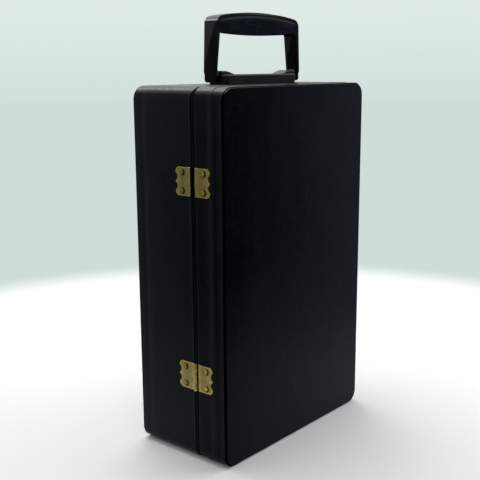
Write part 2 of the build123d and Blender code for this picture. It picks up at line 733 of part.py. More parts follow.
def handle_pins():
    """The two pins that the grip swings on, held in the base and ending inside the legs."""
    pins = []
    for side in (-1, 1):
        inner = side * (BASE_LENGTH / 2 - HANDLE_PIN_DEPTH)
        outer = side * (FOOT_OUTSIDE - HANDLE_PIN_END)
        pins.append(side_cylinder(HANDLE_PIN_RADIUS, inner, outer, 0, CASE_HEIGHT + PIVOT_HEIGHT))
    return pins


def grip_outline():
    """The bail seen from the front: legs that lean in under a crowned bar."""
    foot_z = CASE_HEIGHT + PIVOT_HEIGHT - BOSS_RADIUS
    top_z = CASE_HEIGHT + GRIP_TOP_END
    under_z = CASE_HEIGHT + GRIP_UNDER_END
    outline = [
        Line((-FOOT_OUTSIDE, foot_z), (-GRIP_OUTSIDE, top_z)),
        ThreePointArc((-GRIP_OUTSIDE, top_z), (0, top_z + GRIP_CROWN), (GRIP_OUTSIDE, top_z)),
        Line((GRIP_OUTSIDE, top_z), (FOOT_OUTSIDE, foot_z)),
        Line((FOOT_OUTSIDE, foot_z), (FOOT_INSIDE, foot_z)),
        Line((FOOT_INSIDE, foot_z), (GRIP_INSIDE, under_z)),
        ThreePointArc((GRIP_INSIDE, under_z), (0, under_z - GRIP_UNDER_DIP), (-GRIP_INSIDE, under_z)),
        Line((-GRIP_INSIDE, under_z), (-FOOT_INSIDE, foot_z)),
        Line((-FOOT_INSIDE, foot_z), (-FOOT_OUTSIDE, foot_z)),
    ]
    face = make_face(Curve() + outline)
    face = fillet([vertex for vertex in face.vertices() if abs(vertex.Y - top_z) < 1e-4], GRIP_CORNER)
    return fillet([vertex for vertex in face.vertices() if abs(vertex.Y - under_z) < 1e-4], GRIP_INNER_CORNER)


def grip_side():
    """The bail seen from the end: straight sides over a narrower foot with rounded corners."""
    pivot_z = CASE_HEIGHT + PIVOT_HEIGHT
    half = GRIP_WIDTH / 2
    crown = CASE_HEIGHT + GRIP_TOP_END + GRIP_CROWN
    foot_z = pivot_z - BOSS_RADIUS
    right = [
        (FOOT_HALF_WIDTH, foot_z),
        (FOOT_HALF_WIDTH, pivot_z + SHOULDER_START),
        (half, pivot_z + SHOULDER_END),
        (half, crown - GRIP_TOP_BEVEL),
        (half - GRIP_TOP_BEVEL, crown),
    ]
    left = [(-across, height) for across, height in reversed(right)]
    face = make_face(Polyline(*right, *left, close=True))
    face = fillet([vertex for vertex in face.vertices() if abs(vertex.Y - foot_z) < 1e-4], FOOT_CORNER)
    plane = Plane(origin=(-FOOT_OUTSIDE, 0, 0), x_dir=(0, 1, 0), z_dir=(1, 0, 0))
    return extrude(plane * face, 2 * FOOT_OUTSIDE)


def leg_outside(height):
    """How far out a leg's outer face is at a height over the case."""
    foot = PIVOT_HEIGHT - BOSS_RADIUS
    return FOOT_OUTSIDE - LEG_LEAN * (height - foot) / (GRIP_TOP_END - foot)


def leg_roof_plane(side, face):
    """One slope of a leg's outer face. It starts as a narrow bevel and meets the other slope in a ridge."""
    edge = GRIP_WIDTH / 2 - LEG_ROOF_TOP
    top = Vector(side * leg_outside(GRIP_TOP_END), face * edge, CASE_HEIGHT + GRIP_TOP_END)
    ridge = Vector(side * leg_outside(LEG_ROOF_MEET), 0, CASE_HEIGHT + LEG_ROOF_MEET)
    across = Vector(-side * LEG_ROOF_SLOPE, face, 0)
    normal = across.cross(top - ridge)
    return Plane(origin=top, x_dir=across, z_dir=normal if normal.X * side > 0 else -normal)


def opening_rim(grip, face):
    """The bail's flat front or back, and that face's edges round the opening."""
    flats = grip.faces().filter_by(Axis.Y).filter_by(lambda side: side.normal_at().Y * face > 0)
    flat = flats.sort_by(SortBy.AREA)[-1]
    under_z = CASE_HEIGHT + GRIP_UNDER_END
    rim = [
        edge for edge in flat.edges()
        if abs((edge @ 0.5).X) < FOOT_INSIDE and (edge @ 0.5).Z < under_z
    ]
    return flat, rim


def handle_grip():
    """The moulded bail, bevelled round its opening and down its legs, with a round boss at each foot."""
    pivot_z = CASE_HEIGHT + PIVOT_HEIGHT
    grip = extrude(Plane.XZ * grip_outline(), GRIP_WIDTH / 2, both=True) & grip_side()
    for face in (-1, 1):
        flat, rim = opening_rim(grip, face)
        grip = chamfer(rim, OPENING_BEVEL_SIDE, OPENING_BEVEL_BACK, reference=flat)
    for side in (-1, 1):
        for face in (-1, 1):
            grip = split(grip, bisect_by=leg_roof_plane(side, face), keep=Keep.BOTTOM)
        boss_start = side * (BASE_LENGTH / 2 + BOSS_GAP)
        grip += side_cylinder(BOSS_RADIUS, boss_start, side * FOOT_INSIDE, 0, pivot_z)
        hole_end = side * (FOOT_OUTSIDE - HANDLE_PIN_END + FITTING_GAP)
        grip -= side_cylinder(HANDLE_PIN_RADIUS + PIN_FIT, boss_start, hole_end, 0, pivot_z)
    return grip


# The whole case, one file for each piece


def all_nodes():
    nodes = {}
    lid = half_shell(LID_FACE_Y, 1, LID_DEPTH)
    body = half_shell(BODY_FACE_Y, -1, BODY_DEPTH)
    lid_holes = screw_holes(-1, -1, SCREW_REACH, SCREW_SPACING)
    lid_holes += screw_holes(1, -1, KEEPER_SCREW_REACH, SCREW_SPACING)
    body_holes = screw_holes(-1, 1, SCREW_REACH, SCREW_SPACING)
    body_holes += screw_holes(1, 1, CATCH_SCREW_REACH, CATCH_SCREW_SPACING)
    body_holes += handle_screw_holes()
    for name in ("frame", "side_covering"):
        lid[name] -= lid_holes
        body[name] -= body_holes
    for name, shape in lid.items():
        nodes["lid_" + name] = shape
    for name, shape in body.items():
        nodes["body_" + name] = shape

    stud_holes = strap_stud_holes()
    nodes["body_frame"] -= stud_holes
    nodes["body_lining"] -= stud_holes
    nodes["locating_lip"] = locating_lip()
    nodes["left_divider"] = divider(-1) - stud_holes
    nodes["right_divider"] = divider(1) - stud_holes
    nodes["centre_shelf"] = centre_shelf()
    nodes["cup_fence"] = fence(FLOOR_Z, CUP_FENCE_HEIGHT)
    nodes["shelf_fence"] = fence(SHELF_HEIGHT + SHELF_THICKNESS, TOOL_FENCE_HEIGHT)
    nodes["left_bottle_strap"] = bottle_strap(-1) - stud_holes
    nodes["right_bottle_strap"] = bottle_strap(1) - stud_holes
    nodes["strap_studs"] = strap_studs()

    nodes["tool_board"] = tool_board() - rivet_holes()
    nodes["lower_tool_loops"] = tool_loops(LOOP_HEIGHTS[0])
    nodes["upper_tool_loops"] = tool_loops(LOOP_HEIGHTS[1])
    nodes["loop_rivets"] = loop_rivets()

    for place, height in zip(FITTING_NAMES, FITTING_HEIGHTS):
        nodes[place + "_hinge_body_leaf"] = hinge_leaf(1, height)
        nodes[place + "_hinge_lid_leaf"] = hinge_leaf(-1, height)
        nodes[place + "_catch_plate"] = catch_plate(height)
        nodes[place + "_catch_lever"] = catch_lever(height)
        nodes[place + "_catch_loop"] = catch_loop(height)
        nodes[place + "_catch_keeper"] = catch_keeper(height)
    nodes["hinge_pins"] = hinge_pins()
    nodes["catch_pins"] = catch_pins()
    nodes["hinge_body_screws"] = plate_screws(-1, 1, SCREW_REACH, SCREW_SPACING)
    nodes["hinge_lid_screws"] = plate_screws(-1, -1, SCREW_REACH, SCREW_SPACING)
    nodes["catch_plate_screws"] = plate_screws(1, 1, CATCH_SCREW_REACH, CATCH_SCREW_SPACING)
    nodes["catch_keeper_screws"] = plate_screws(1, -1, KEEPER_SCREW_REACH, SCREW_SPACING)

    nodes["handle_base"] = handle_base()
    nodes["handle_screws"] = handle_screws()
    nodes["handle_pins"] = handle_pins()
    nodes["handle_grip"] = handle_grip()
    return nodes


os.makedirs("parts", exist_ok=True)
for node, shape in all_nodes().items():
    if isinstance(shape, list):
        shape = Compound(children=[piece.solid() for piece in shape])
    export_step(shape, f"parts/{node}.step")
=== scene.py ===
"""Portable bar case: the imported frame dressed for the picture."""
import math

import bmesh
import bpy
from mathutils import Matrix, Vector


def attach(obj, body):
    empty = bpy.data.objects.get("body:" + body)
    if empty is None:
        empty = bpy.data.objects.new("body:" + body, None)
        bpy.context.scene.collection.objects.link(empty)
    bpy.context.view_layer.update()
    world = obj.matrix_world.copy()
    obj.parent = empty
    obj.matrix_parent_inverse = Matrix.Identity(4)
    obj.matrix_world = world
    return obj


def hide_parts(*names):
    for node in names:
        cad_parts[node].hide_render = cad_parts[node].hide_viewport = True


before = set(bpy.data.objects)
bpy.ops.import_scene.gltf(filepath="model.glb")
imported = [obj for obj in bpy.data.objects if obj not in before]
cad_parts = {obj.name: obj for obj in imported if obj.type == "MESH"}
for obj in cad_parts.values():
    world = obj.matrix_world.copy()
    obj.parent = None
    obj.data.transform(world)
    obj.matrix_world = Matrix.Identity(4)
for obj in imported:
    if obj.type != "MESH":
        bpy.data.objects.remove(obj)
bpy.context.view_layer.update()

# Camera, white table and light
# The case stands on a white table with a pale green-white wall far behind it. Three broad soft lamps light
# it from above: one beyond the case, one behind the viewer and one on the viewer's right.
camera_place = Vector((-0.6893, -0.5679, 0.3991))
camera_yaw, camera_pitch, camera_roll = (math.radians(angle) for angle in (49.492, -11.921, -0.357))
camera_data = bpy.data.cameras.new("viewer")
camera_data.lens = 61.716
camera_data.sensor_width = 36
camera_data.clip_start, camera_data.clip_end = 0.02, 60
viewer = bpy.data.objects.new("viewer", camera_data)
bpy.context.scene.collection.objects.link(viewer)
ahead = Vector((
    math.sin(camera_yaw) * math.cos(camera_pitch),
    math.cos(camera_yaw) * math.cos(camera_pitch),
    math.sin(camera_pitch),
))
level_right = Vector((math.cos(camera_yaw), -math.sin(camera_yaw), 0))
level_up = level_right.cross(ahead)
tilt_right = level_right * math.cos(camera_roll) + level_up * math.sin(camera_roll)
tilt_up = level_up * math.cos(camera_roll) - level_right * math.sin(camera_roll)
camera_axes = Matrix((tilt_right, tilt_up, -ahead)).transposed()
viewer.matrix_world = Matrix.Translation(camera_place) @ camera_axes.to_4x4()
bpy.context.scene.camera = viewer
bpy.context.scene.view_settings.view_transform = "Standard"


def node(tree, kind, inputs=None, **settings):
    """Adds a shader node. Its inputs are given by name or number, as values or as other nodes' outputs."""
    made = tree.nodes.new("ShaderNode" + kind)
    for key, value in settings.items():
        setattr(made, key, value)
    for key, value in (inputs or {}).items():
        if isinstance(value, bpy.types.NodeSocket):
            tree.links.new(value, made.inputs[key])
        else:
            made.inputs[key].default_value = value
    return made


def calc(tree, operation, *values, clamp=False):
    """The output of a maths node that works on numbers."""
    return node(tree, "Math", dict(enumerate(values)), operation=operation, use_clamp=clamp).outputs[0]


def vector_calc(tree, operation, *values):
    """The output of a maths node that works on vectors: a number for a length or a product, else a vector."""
    worked = node(tree, "VectorMath", dict(enumerate(values)), operation=operation)
    return worked.outputs["Value" if operation in ("LENGTH", "DOT_PRODUCT") else "Vector"]


def mix(tree, amount, low, high):
    """A colour between two others."""
    return node(tree, "Mix", {0: amount, 6: low, 7: high}, data_type="RGBA").outputs[2]


def span(tree, value, low, high, start=0.0, end=1.0, curve="LINEAR"):
    """A value stretched from one range to another, and held at its ends."""
    return node(tree, "MapRange", {
        "Value": value, "From Min": low, "From Max": high, "To Min": start, "To Max": end,
    }, interpolation_type=curve).outputs["Result"]


wall_low, wall_high = (0.625, 0.715, 0.690, 1), (0.775, 0.860, 0.830, 1)
room_dark, room_light, room_fill = (0.006, 0.010, 0.016, 1), (0.330, 0.325, 0.305, 1), (0.36, 0.37, 0.38, 1)
light_side = (-0.76, 0.65, 0)
table_colour, far_table = (0.915, 0.92, 0.915, 1), (0.185, 0.182, 0.168, 1)
table_edge, wall_start = 0.66, 0.80
mirrored_edge, mirrored_end, mirrored_near = 0.12, 0.60, 0.48

sky = bpy.data.worlds.new("soft_studio")
bpy.context.scene.world = sky
sky.use_nodes = True
air = sky.node_tree
air.nodes.clear()
way = node(air, "TexCoord").outputs["Generated"]
height = node(air, "SeparateXYZ", {0: way}).outputs["Z"]
wall = mix(air, span(air, height, -0.06, 0.10), wall_low, wall_high)
onward = vector_calc(air, "DOT_PRODUCT", way, (ahead.x, ahead.y, 0))
aside = vector_calc(air, "DOT_PRODUCT", way, light_side)
room = mix(air, span(air, aside, -0.5, 1.0), room_dark, room_light)
reflected = mix(air, span(air, onward, 0.15, 0.75), room, wall)
path = node(air, "LightPath")
seen = calc(air, "MAXIMUM", path.outputs["Is Camera Ray"], path.outputs["Is Transmission Ray"])
shown = mix(air, path.outputs["Is Glossy Ray"], room_fill, reflected)
shown = mix(air, seen, shown, wall)
studio = node(air, "Background", {"Color": shown, "Strength": 1.0})
node(air, "OutputWorld", {"Surface": studio.outputs[0]})

bpy.ops.object.select_all(action="DESELECT")
bpy.ops.mesh.primitive_circle_add(vertices=96, radius=9, fill_type="NGON", location=(0, 0, 0))
table = bpy.context.object
table.name = "table_top"
table_paint = bpy.data.materials.new("white_table")
table_paint.use_nodes = True
tree = table_paint.node_tree
matt = tree.nodes["Principled BSDF"]
matt.inputs["Base Color"].default_value = table_colour
matt.inputs["Roughness"].default_value = 0.75
matt.inputs["Specular IOR Level"].default_value = 0.2
place = node(tree, "TexCoord")
distance = vector_calc(tree, "LENGTH", place.outputs["Object"])
path = node(tree, "LightPath")
far = span(tree, distance, table_edge, wall_start, curve="SMOOTHSTEP")
far = calc(tree, "MULTIPLY", far, path.outputs["Is Camera Ray"])
mirrored = span(tree, distance, mirrored_edge, mirrored_end, mirrored_near, curve="SMOOTHSTEP")
fade = calc(tree, "MULTIPLY_ADD", mirrored, path.outputs["Is Glossy Ray"], far, clamp=True)
sideways = vector_calc(tree, "DOT_PRODUCT", place.outputs["Object"], light_side)
sideways = calc(tree, "DIVIDE", sideways, distance)
beyond = mix(tree, span(tree, sideways, 0.1, 0.9), room_dark, far_table)
beyond = mix(tree, path.outputs["Is Camera Ray"], beyond, wall_low)
glow = node(tree, "Emission", {"Color": beyond, "Strength": 1.0})
blend = node(tree, "MixShader", {0: fade, 1: matt.outputs[0], 2: glow.outputs[0]})
tree.links.new(blend.outputs[0], tree.nodes["Material Output"].inputs["Surface"])
table.data.materials.append(table_paint)

lamp_target = Vector((0, 0, 0.2))
for lamp_name, spot, size, power in (
    ("overhead_lamp", (0.14, 0.50, 1.5), 1.35, 18.5),
    ("viewer_lamp", (-1.5, -1.6, 1.6), 1.4, 9.4),
    ("right_lamp", (1.5, -1.0, 1.5), 1.2, 14.5),
):
    lamp_data = bpy.data.lights.new(lamp_name, "AREA")
    lamp_data.energy = power
    lamp_data.size = size
    lamp = bpy.data.objects.new(lamp_name, lamp_data)
    lamp.location = spot
    lamp.rotation_euler = (lamp_target - Vector(spot)).to_track_quat("-Z", "Y").to_euler()
    bpy.context.scene.collection.objects.link(lamp)

# Leathercloth covering
# Black coated cloth over the wooden shells: a skin on each wide face, a band along its edge and a cover that
# rolls into the seam. Fine pressed grain, faint upright streaks, paler hazes, dust on top and specks. Painted
# light: the wide face paler to the right, highlights and black shade along the seam and the edges, a black rim
# round the wide face and a highlight where the top rounds over.


def effect(name, inputs=()):
    """A node group that several materials share. From a position it gives a colour, roughness and height."""
    group = bpy.data.node_groups.new(name, "ShaderNodeTree")
    for label, kind, value in (("Position", "Vector", (0, 0, 0)), *inputs):
        socket = group.interface.new_socket(label, in_out="INPUT", socket_type="NodeSocket" + kind)
        socket.default_value = value
    for label, kind in (("Color", "Color"), ("Roughness", "Float"), ("Height", "Float")):
        group.interface.new_socket(label, in_out="OUTPUT", socket_type="NodeSocket" + kind)
    return group, group.nodes.new("NodeGroupInput").outputs, group.nodes.new("NodeGroupOutput").inputs


def finish(name, group, values, bump, shader_values, centre=(0, 0, 0)):
    """A material whose colour, roughness and height come from a shared effect placed on the piece."""
    material = bpy.data.materials.new(name)
    material.use_nodes = True
    tree = material.node_tree
    shader = tree.nodes["Principled BSDF"]
    for key, value in shader_values.items():
        shader.inputs[key].default_value = value
    spot = node(tree, "TexCoord")
    placed = node(tree, "Mapping", {
        "Vector": spot.outputs["Object"], "Location": [-value for value in centre],
    })
    worked = node(tree, "Group", {}, node_tree=group)
    tree.links.new(placed.outputs[0], worked.inputs["Position"])
    for key, value in values.items():
        worked.inputs[key].default_value = value
    tree.links.new(worked.outputs["Color"], shader.inputs["Base Color"])
    tree.links.new(worked.outputs["Roughness"], shader.inputs["Roughness"])
    relief = node(tree, "Bump", {"Height": worked.outputs["Height"], "Distance": bump, "Strength": 1.0})
    tree.links.new(relief.outputs[0], shader.inputs["Normal"])
    return material


def paint(names, material):
    """Gives CAD nodes a material."""
    for name in names:
        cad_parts[name].material_slots[0].material = material


def profile(tree, value, low, high, stops):
    """A grey value drawn along a distance, from stops given as (distance, grey)."""
    ramp = node(tree, "ValToRGB", {0: span(tree, value, low, high)})
    points = ramp.color_ramp.elements
    while len(points) < len(stops):
        points.new(0.5)
    for point, (distance, grey) in zip(points, stops):
        point.position = (distance - low) / (high - low)
        point.color = (grey, grey, grey, 1)
    return ramp.outputs["Color"]


case_height, half_depth, seam_y = 0.381, 0.061, -0.022
corner_middle, corner_start, corner_end = (0.1055, 1, 0.1765), 0.0114, 0.0119
painted_edge_shade_colour, dust_and_highlight_colour = (0.0001, 0.0001, 0.0002, 1), (0.265, 0.270, 0.250, 1)
chip_colour = (0.35, 0.36, 0.36, 1)
leathercloth, given, result = effect(
    "leathercloth",
    (
        ("Base", "Color", (0.0004, 0.0010, 0.0017, 1)),
        ("Paler tone", "Color", (0.0163, 0.0198, 0.0246, 1)),
        ("Haze", "Float", 0.0),
        ("Painted light to right", "Float", 0.0),
        ("Haze low down", "Float", 0.2),
        ("Haze high up", "Float", 0.12),
        ("Haze behind", "Float", 0.0),
        ("Painted lines", "Float", 1.0),
        ("Painted rim shade", "Float", 0.0),
        ("Grain per metre", "Float", 1150.0),
        ("Streaks", "Float", 1.0),
        ("Dust", "Float", 1.0),
        ("Gloss", "Float", 0.30),
    ),
)
tree = leathercloth
stretched = node(tree, "Mapping", {"Vector": given["Position"], "Scale": (330, 330, 7)})
streak = node(tree, "TexNoise", {"Vector": stretched.outputs[0], "Scale": 1.0, "Detail": 3.0})
cloud = node(tree, "TexNoise", {"Vector": given["Position"], "Scale": 11.0, "Detail": 4.0, "Roughness": 0.6})
fine = node(tree, "TexNoise", {"Vector": given["Position"], "Scale": 520.0, "Detail": 2.0})
pores = node(tree, "TexVoronoi", {
    "Vector": given["Position"], "Scale": given["Grain per metre"],
}, feature="SMOOTH_F1")
parts = node(tree, "SeparateXYZ", {0: given["Position"]})
low_down = profile(tree, parts.outputs["Z"], 0.0, case_height, (
    (0.0, 1.0), (0.070, 0.62), (0.150, 0.22), (0.210, 0.0), (case_height, 0.0),
))
high_up = profile(tree, parts.outputs["Z"], 0.0, case_height, (
    (0.0, 0.0), (0.210, 0.0), (0.290, 0.15), (case_height, 1.0),
))
behind = span(tree, parts.outputs["Y"], seam_y, half_depth)
to_right = span(tree, parts.outputs["X"], -0.12, 0.12)
cloudy = span(tree, cloud.outputs["Fac"], 0.36, 0.66, -0.5, 0.5)
streaky = span(tree, streak.outputs["Fac"], 0.35, 0.68, -0.5, 0.5)
streaky = calc(tree, "MULTIPLY", streaky, given["Streaks"])
# Paler towards the right where that is given, which on the wide face is painted light, and paler towards the
# bottom, the top and the back by the amounts given.
haze = calc(tree, "MULTIPLY_ADD", to_right, given["Painted light to right"], given["Haze"])
haze = calc(tree, "MULTIPLY_ADD", low_down, given["Haze low down"], haze)
haze = calc(tree, "MULTIPLY_ADD", high_up, given["Haze high up"], haze)
haze = calc(tree, "MULTIPLY_ADD", behind, given["Haze behind"], haze)
pale_and_painted_light = calc(tree, "MULTIPLY_ADD", cloudy, 0.09, haze)
pale_and_painted_light = calc(tree, "MULTIPLY_ADD", streaky, 0.16, pale_and_painted_light)
speckled = span(tree, fine.outputs["Fac"], 0.35, 0.65, -0.5, 0.5)
pale_and_painted_light = calc(tree, "MULTIPLY_ADD", speckled, 0.16, pale_and_painted_light)
# Painted light and shade across the seam: highlights on the rolled edges on either side, black shade in the seam
# between them, and a thin pale line inside it.
from_seam = calc(tree, "SUBTRACT", parts.outputs["Y"], seam_y)
seam_painted_light_and_shade = profile(tree, from_seam, -0.0080, 0.0080, (
    (-0.0080, 0.50), (-0.0050, 0.55), (-0.0032, 0.95), (-0.0022, 0.0), (0.0003, 0.0), (0.0006, 0.60),
    (0.0012, 0.60), (0.0015, 0.0), (0.0024, 0.0), (0.0034, 0.90), (0.0055, 0.60), (0.0080, 0.50),
))
# Painted light and shade inward from each wide face's edge: black shade over the first 2 mm, a highlight on the
# rolled edge, and a second highlight on the step at about 16 mm where the band meets the side cover.
from_face = calc(tree, "ABSOLUTE", parts.outputs["Y"])
from_face = calc(tree, "SUBTRACT", half_depth, from_face)
edge_painted_light_and_shade = profile(tree, from_face, 0.0, 0.0260, (
    (0.0, 0.0), (0.0019, 0.0), (0.0026, 0.78), (0.0050, 0.66), (0.0080, 0.52), (0.0112, 0.30), (0.0132, 0.55),
    (0.0155, 0.90), (0.0175, 0.92), (0.0195, 0.68), (0.0220, 0.55), (0.0260, 0.50),
))
painted_lines = calc(tree, "ADD", seam_painted_light_and_shade, edge_painted_light_and_shade)
painted_lines = calc(tree, "SUBTRACT", painted_lines, 1.0)
painted_lines = calc(tree, "MULTIPLY", painted_lines, given["Painted lines"])
pale_and_painted_light = calc(tree, "MULTIPLY_ADD", painted_lines, 0.75, pale_and_painted_light, clamp=True)
covered = mix(tree, pale_and_painted_light, given["Base"], given["Paler tone"])
# The outermost 2 mm of the wide face's skin is painted black as shade.
corner = vector_calc(tree, "SUBTRACT", given["Position"], (0, 0, case_height / 2))
corner = vector_calc(tree, "ABSOLUTE", corner)
corner = vector_calc(tree, "SUBTRACT", corner, corner_middle)
corner = vector_calc(tree, "MAXIMUM", corner, (0, 0, 0))
corner = vector_calc(tree, "LENGTH", corner)
painted_rim_shade = span(tree, corner, corner_start, corner_end)
painted_rim_shade = calc(tree, "MULTIPLY", painted_rim_shade, given["Painted rim shade"])
# Where the painted lines are darkest, the cloth is painted near black and matt as shade.
painted_groove_shade = span(tree, painted_lines, -0.30, -0.46)
painted_groove_shade = calc(tree, "MAXIMUM", painted_groove_shade, painted_rim_shade)
covered = mix(tree, painted_groove_shade, covered, painted_edge_shade_colour)
# Pale on upward faces near the hinge side and the wide face. This is dust on the flat top, plus a painted
# highlight that is brightest where the rounded top edges face about 37 degrees from straight up; the same
# highlight also paints a pale line on the wide face's top rim.
upward = node(tree, "SeparateXYZ", {0: node(tree, "TexCoord").outputs["Normal"]})
dust_and_highlight = profile(tree, upward.outputs["Z"], 0.42, 1.0, (
    (0.42, 0.0), (0.48, 0.03), (0.54, 0.07), (0.60, 0.12), (0.67, 0.20), (0.735, 0.75), (0.80, 1.0),
    (0.87, 0.56), (1.0, 0.56),
))
dust_and_highlight = calc(tree, "MULTIPLY", dust_and_highlight, span(tree, fine.outputs["Fac"], 0.30, 0.62, 0.45, 1.0))
near_hinges = span(tree, parts.outputs["X"], -0.100, -0.060, 1.0, 0.05)
near_face = span(tree, parts.outputs["Y"], -0.050, -0.055, 0.0, 0.6)
dust_and_highlight = calc(tree, "MULTIPLY", dust_and_highlight, calc(tree, "MAXIMUM", near_hinges, near_face))
covered = mix(tree, dust_and_highlight, covered, dust_and_highlight_colour)
speck = node(tree, "TexVoronoi", {"Vector": given["Position"], "Scale": 52.0}, feature="F1")
speck_spot = calc(tree, "LESS_THAN", speck.outputs["Distance"], 0.018)
speck_kept = node(tree, "SeparateColor", {0: speck.outputs["Color"]})
speck_kept = calc(tree, "LESS_THAN", speck_kept.outputs[0], 0.12)
specks = calc(tree, "MULTIPLY", speck_spot, speck_kept)
specks = calc(tree, "MULTIPLY", specks, given["Dust"])
tree.links.new(mix(tree, specks, covered, chip_colour), result["Color"])
dull = calc(tree, "MULTIPLY_ADD", cloudy, 0.08, given["Gloss"])
dull = calc(tree, "MULTIPLY_ADD", streaky, 0.06, dull)
dull = calc(tree, "MAXIMUM", dull, painted_groove_shade)
tree.links.new(dull, result["Roughness"])
relief = calc(tree, "MULTIPLY_ADD", fine.outputs["Fac"], 0.5, pores.outputs["Distance"])
relief = calc(tree, "MULTIPLY_ADD", streak.outputs["Fac"], 0.5, relief)
tree.links.new(relief, result["Height"])

cloth_shader = {"Specular IOR Level": 0.05, "Sheen Weight": 0.05, "Sheen Roughness": 0.2}
# The three copies differ only in how pale they are and where. The wide face is painted paler towards the right as
# light.
face_cloth = finish("face_leathercloth", leathercloth, {
    "Haze": 0.03, "Painted light to right": 0.74, "Haze low down": 0.34, "Haze high up": -0.05,
    "Streaks": 0.36, "Painted lines": 0.0, "Painted rim shade": 1.0,
}, 0.00010, cloth_shader)
deep_cloth = finish("deep_half_leathercloth", leathercloth, {
    "Haze": 0.22, "Haze low down": 0.30, "Haze behind": 0.30, "Streaks": 0.25,
}, 0.00012, cloth_shader)
shallow_cloth = finish("shallow_half_leathercloth", leathercloth, {
    "Haze": 0.10, "Haze low down": 0.28, "Streaks": 0.25,
}, 0.00012, cloth_shader)
paint(["body_face_covering", "lid_face_covering"], face_cloth)
paint(["body_side_covering", "body_edge_band"], deep_cloth)
paint(["lid_side_covering", "lid_edge_band"], shallow_cloth)

# Plywood frames and boards
# Each half is a frame of birch plywood with a thinner board set into its wide side. The wood is bare and
# shows nowhere on the closed case; its pale grain runs upright.
pale_wood, brown_wood, dark_fibre = (0.52, 0.36, 0.20, 1), (0.34, 0.20, 0.10, 1), (0.25, 0.14, 0.07, 1)
plywood, given, result = effect("plywood")
tree = plywood
stretched = node(tree, "Mapping", {"Vector": given["Position"], "Scale": (90, 90, 5)})
rings = node(tree, "TexNoise", {
    "Vector": stretched.outputs[0], "Scale": 1.0, "Detail": 6.0, "Distortion": 0.6,
})
fibre_map = node(tree, "Mapping", {"Vector": given["Position"], "Scale": (1500, 1500, 30)})
fibre = node(tree, "TexNoise", {"Vector": fibre_map.outputs[0], "Scale": 1.0, "Detail": 2.0})
grainy = span(tree, rings.outputs["Fac"], 0.35, 0.7)
wood = mix(tree, grainy, pale_wood, brown_wood)
wood = mix(tree, span(tree, fibre.outputs["Fac"], 0.55, 0.75, 0.0, 0.5), wood, dark_fibre)
tree.links.new(wood, result["Color"])
tree.links.new(span(tree, grainy, 0, 1, 0.55, 0.7), result["Roughness"])
tree.links.new(fibre.outputs["Fac"], result["Height"])
birch = finish("birch_plywood", plywood, {}, 0.00008, {})
paint(["body_frame", "lid_frame", "body_board", "lid_board"], birch)

# Felt lining
# Dark red felt glued inside both halves and over the dividers, shelf, low fences, tool board and the lip
# that guides the halves together. Short matted fibres, a little paler where things rub.
felt, given, result = effect(
    "felt",
    (
        ("Dye", "Color", (0.16, 0.012, 0.014, 1)),
        ("Worn", "Color", (0.27, 0.035, 0.035, 1)),
    ),
)
tree = felt
hairs = node(tree, "TexNoise", {
    "Vector": given["Position"], "Scale": 2600.0, "Detail": 3.0, "Distortion": 1.5,
})
matting = node(tree, "TexNoise", {"Vector": given["Position"], "Scale": 420.0, "Detail": 3.0})
patches = node(tree, "TexNoise", {"Vector": given["Position"], "Scale": 18.0, "Detail": 4.0})
loose_hairs = span(tree, hairs.outputs["Fac"], 0.4, 0.7, 0.0, 0.45)
wear = calc(tree, "MULTIPLY_ADD", span(tree, patches.outputs["Fac"], 0.42, 0.75), 0.5, loose_hairs, clamp=True)
tree.links.new(mix(tree, wear, given["Dye"], given["Worn"]), result["Color"])
tree.links.new(span(tree, matting.outputs["Fac"], 0.3, 0.7, 0.85, 0.97), result["Roughness"])
fuzz = calc(tree, "MULTIPLY_ADD", hairs.outputs["Fac"], 0.5, matting.outputs["Fac"])
tree.links.new(fuzz, result["Height"])
felt_shader = {
    "Sheen Weight": 0.5, "Sheen Roughness": 0.6, "Sheen Tint": (0.8, 0.35, 0.35, 1), "Specular IOR Level": 0.2,
}
red_felt = finish("red_felt", felt, {}, 0.0004, felt_shader)
board_felt = finish("board_felt", felt, {"Dye": (0.13, 0.010, 0.012, 1)}, 0.0003, felt_shader)


def merged_copy(source):
    """A piece with the mesh of a CAD node, its loose triangles joined."""
    bpy.ops.object.select_all(action="DESELECT")
    piece = bpy.data.objects.new(source + "_made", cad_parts[source].data.copy())
    bpy.context.scene.collection.objects.link(piece)
    piece.select_set(True)
    bpy.context.view_layer.objects.active = piece
    bpy.ops.mesh.customdata_custom_splitnormals_clear()
    bpy.ops.object.mode_set(mode="EDIT")
    bpy.ops.mesh.select_all(action="SELECT")
    bpy.ops.mesh.remove_doubles(threshold=0.000002)
    bpy.ops.object.mode_set(mode="OBJECT")
    return piece


def close_rivet_holes(board):
    """Closes the holes that the rivets fill, so that the board's face is one flat sheet."""
    shape = bmesh.new()
    shape.from_mesh(board.data)
    walls = [
        face for face in shape.faces
        if abs(face.normal.y) < 0.5 and abs(face.calc_center_median().x) < 0.095
        and 0.05 < face.calc_center_median().z < 0.33
    ]
    bmesh.ops.delete(shape, geom=walls, context="FACES")
    bmesh.ops.holes_fill(shape, edges=[edge for edge in shape.edges if edge.is_boundary])
    bmesh.ops.recalc_face_normals(shape, faces=shape.faces)
    shape.to_mesh(board.data)
    shape.free()


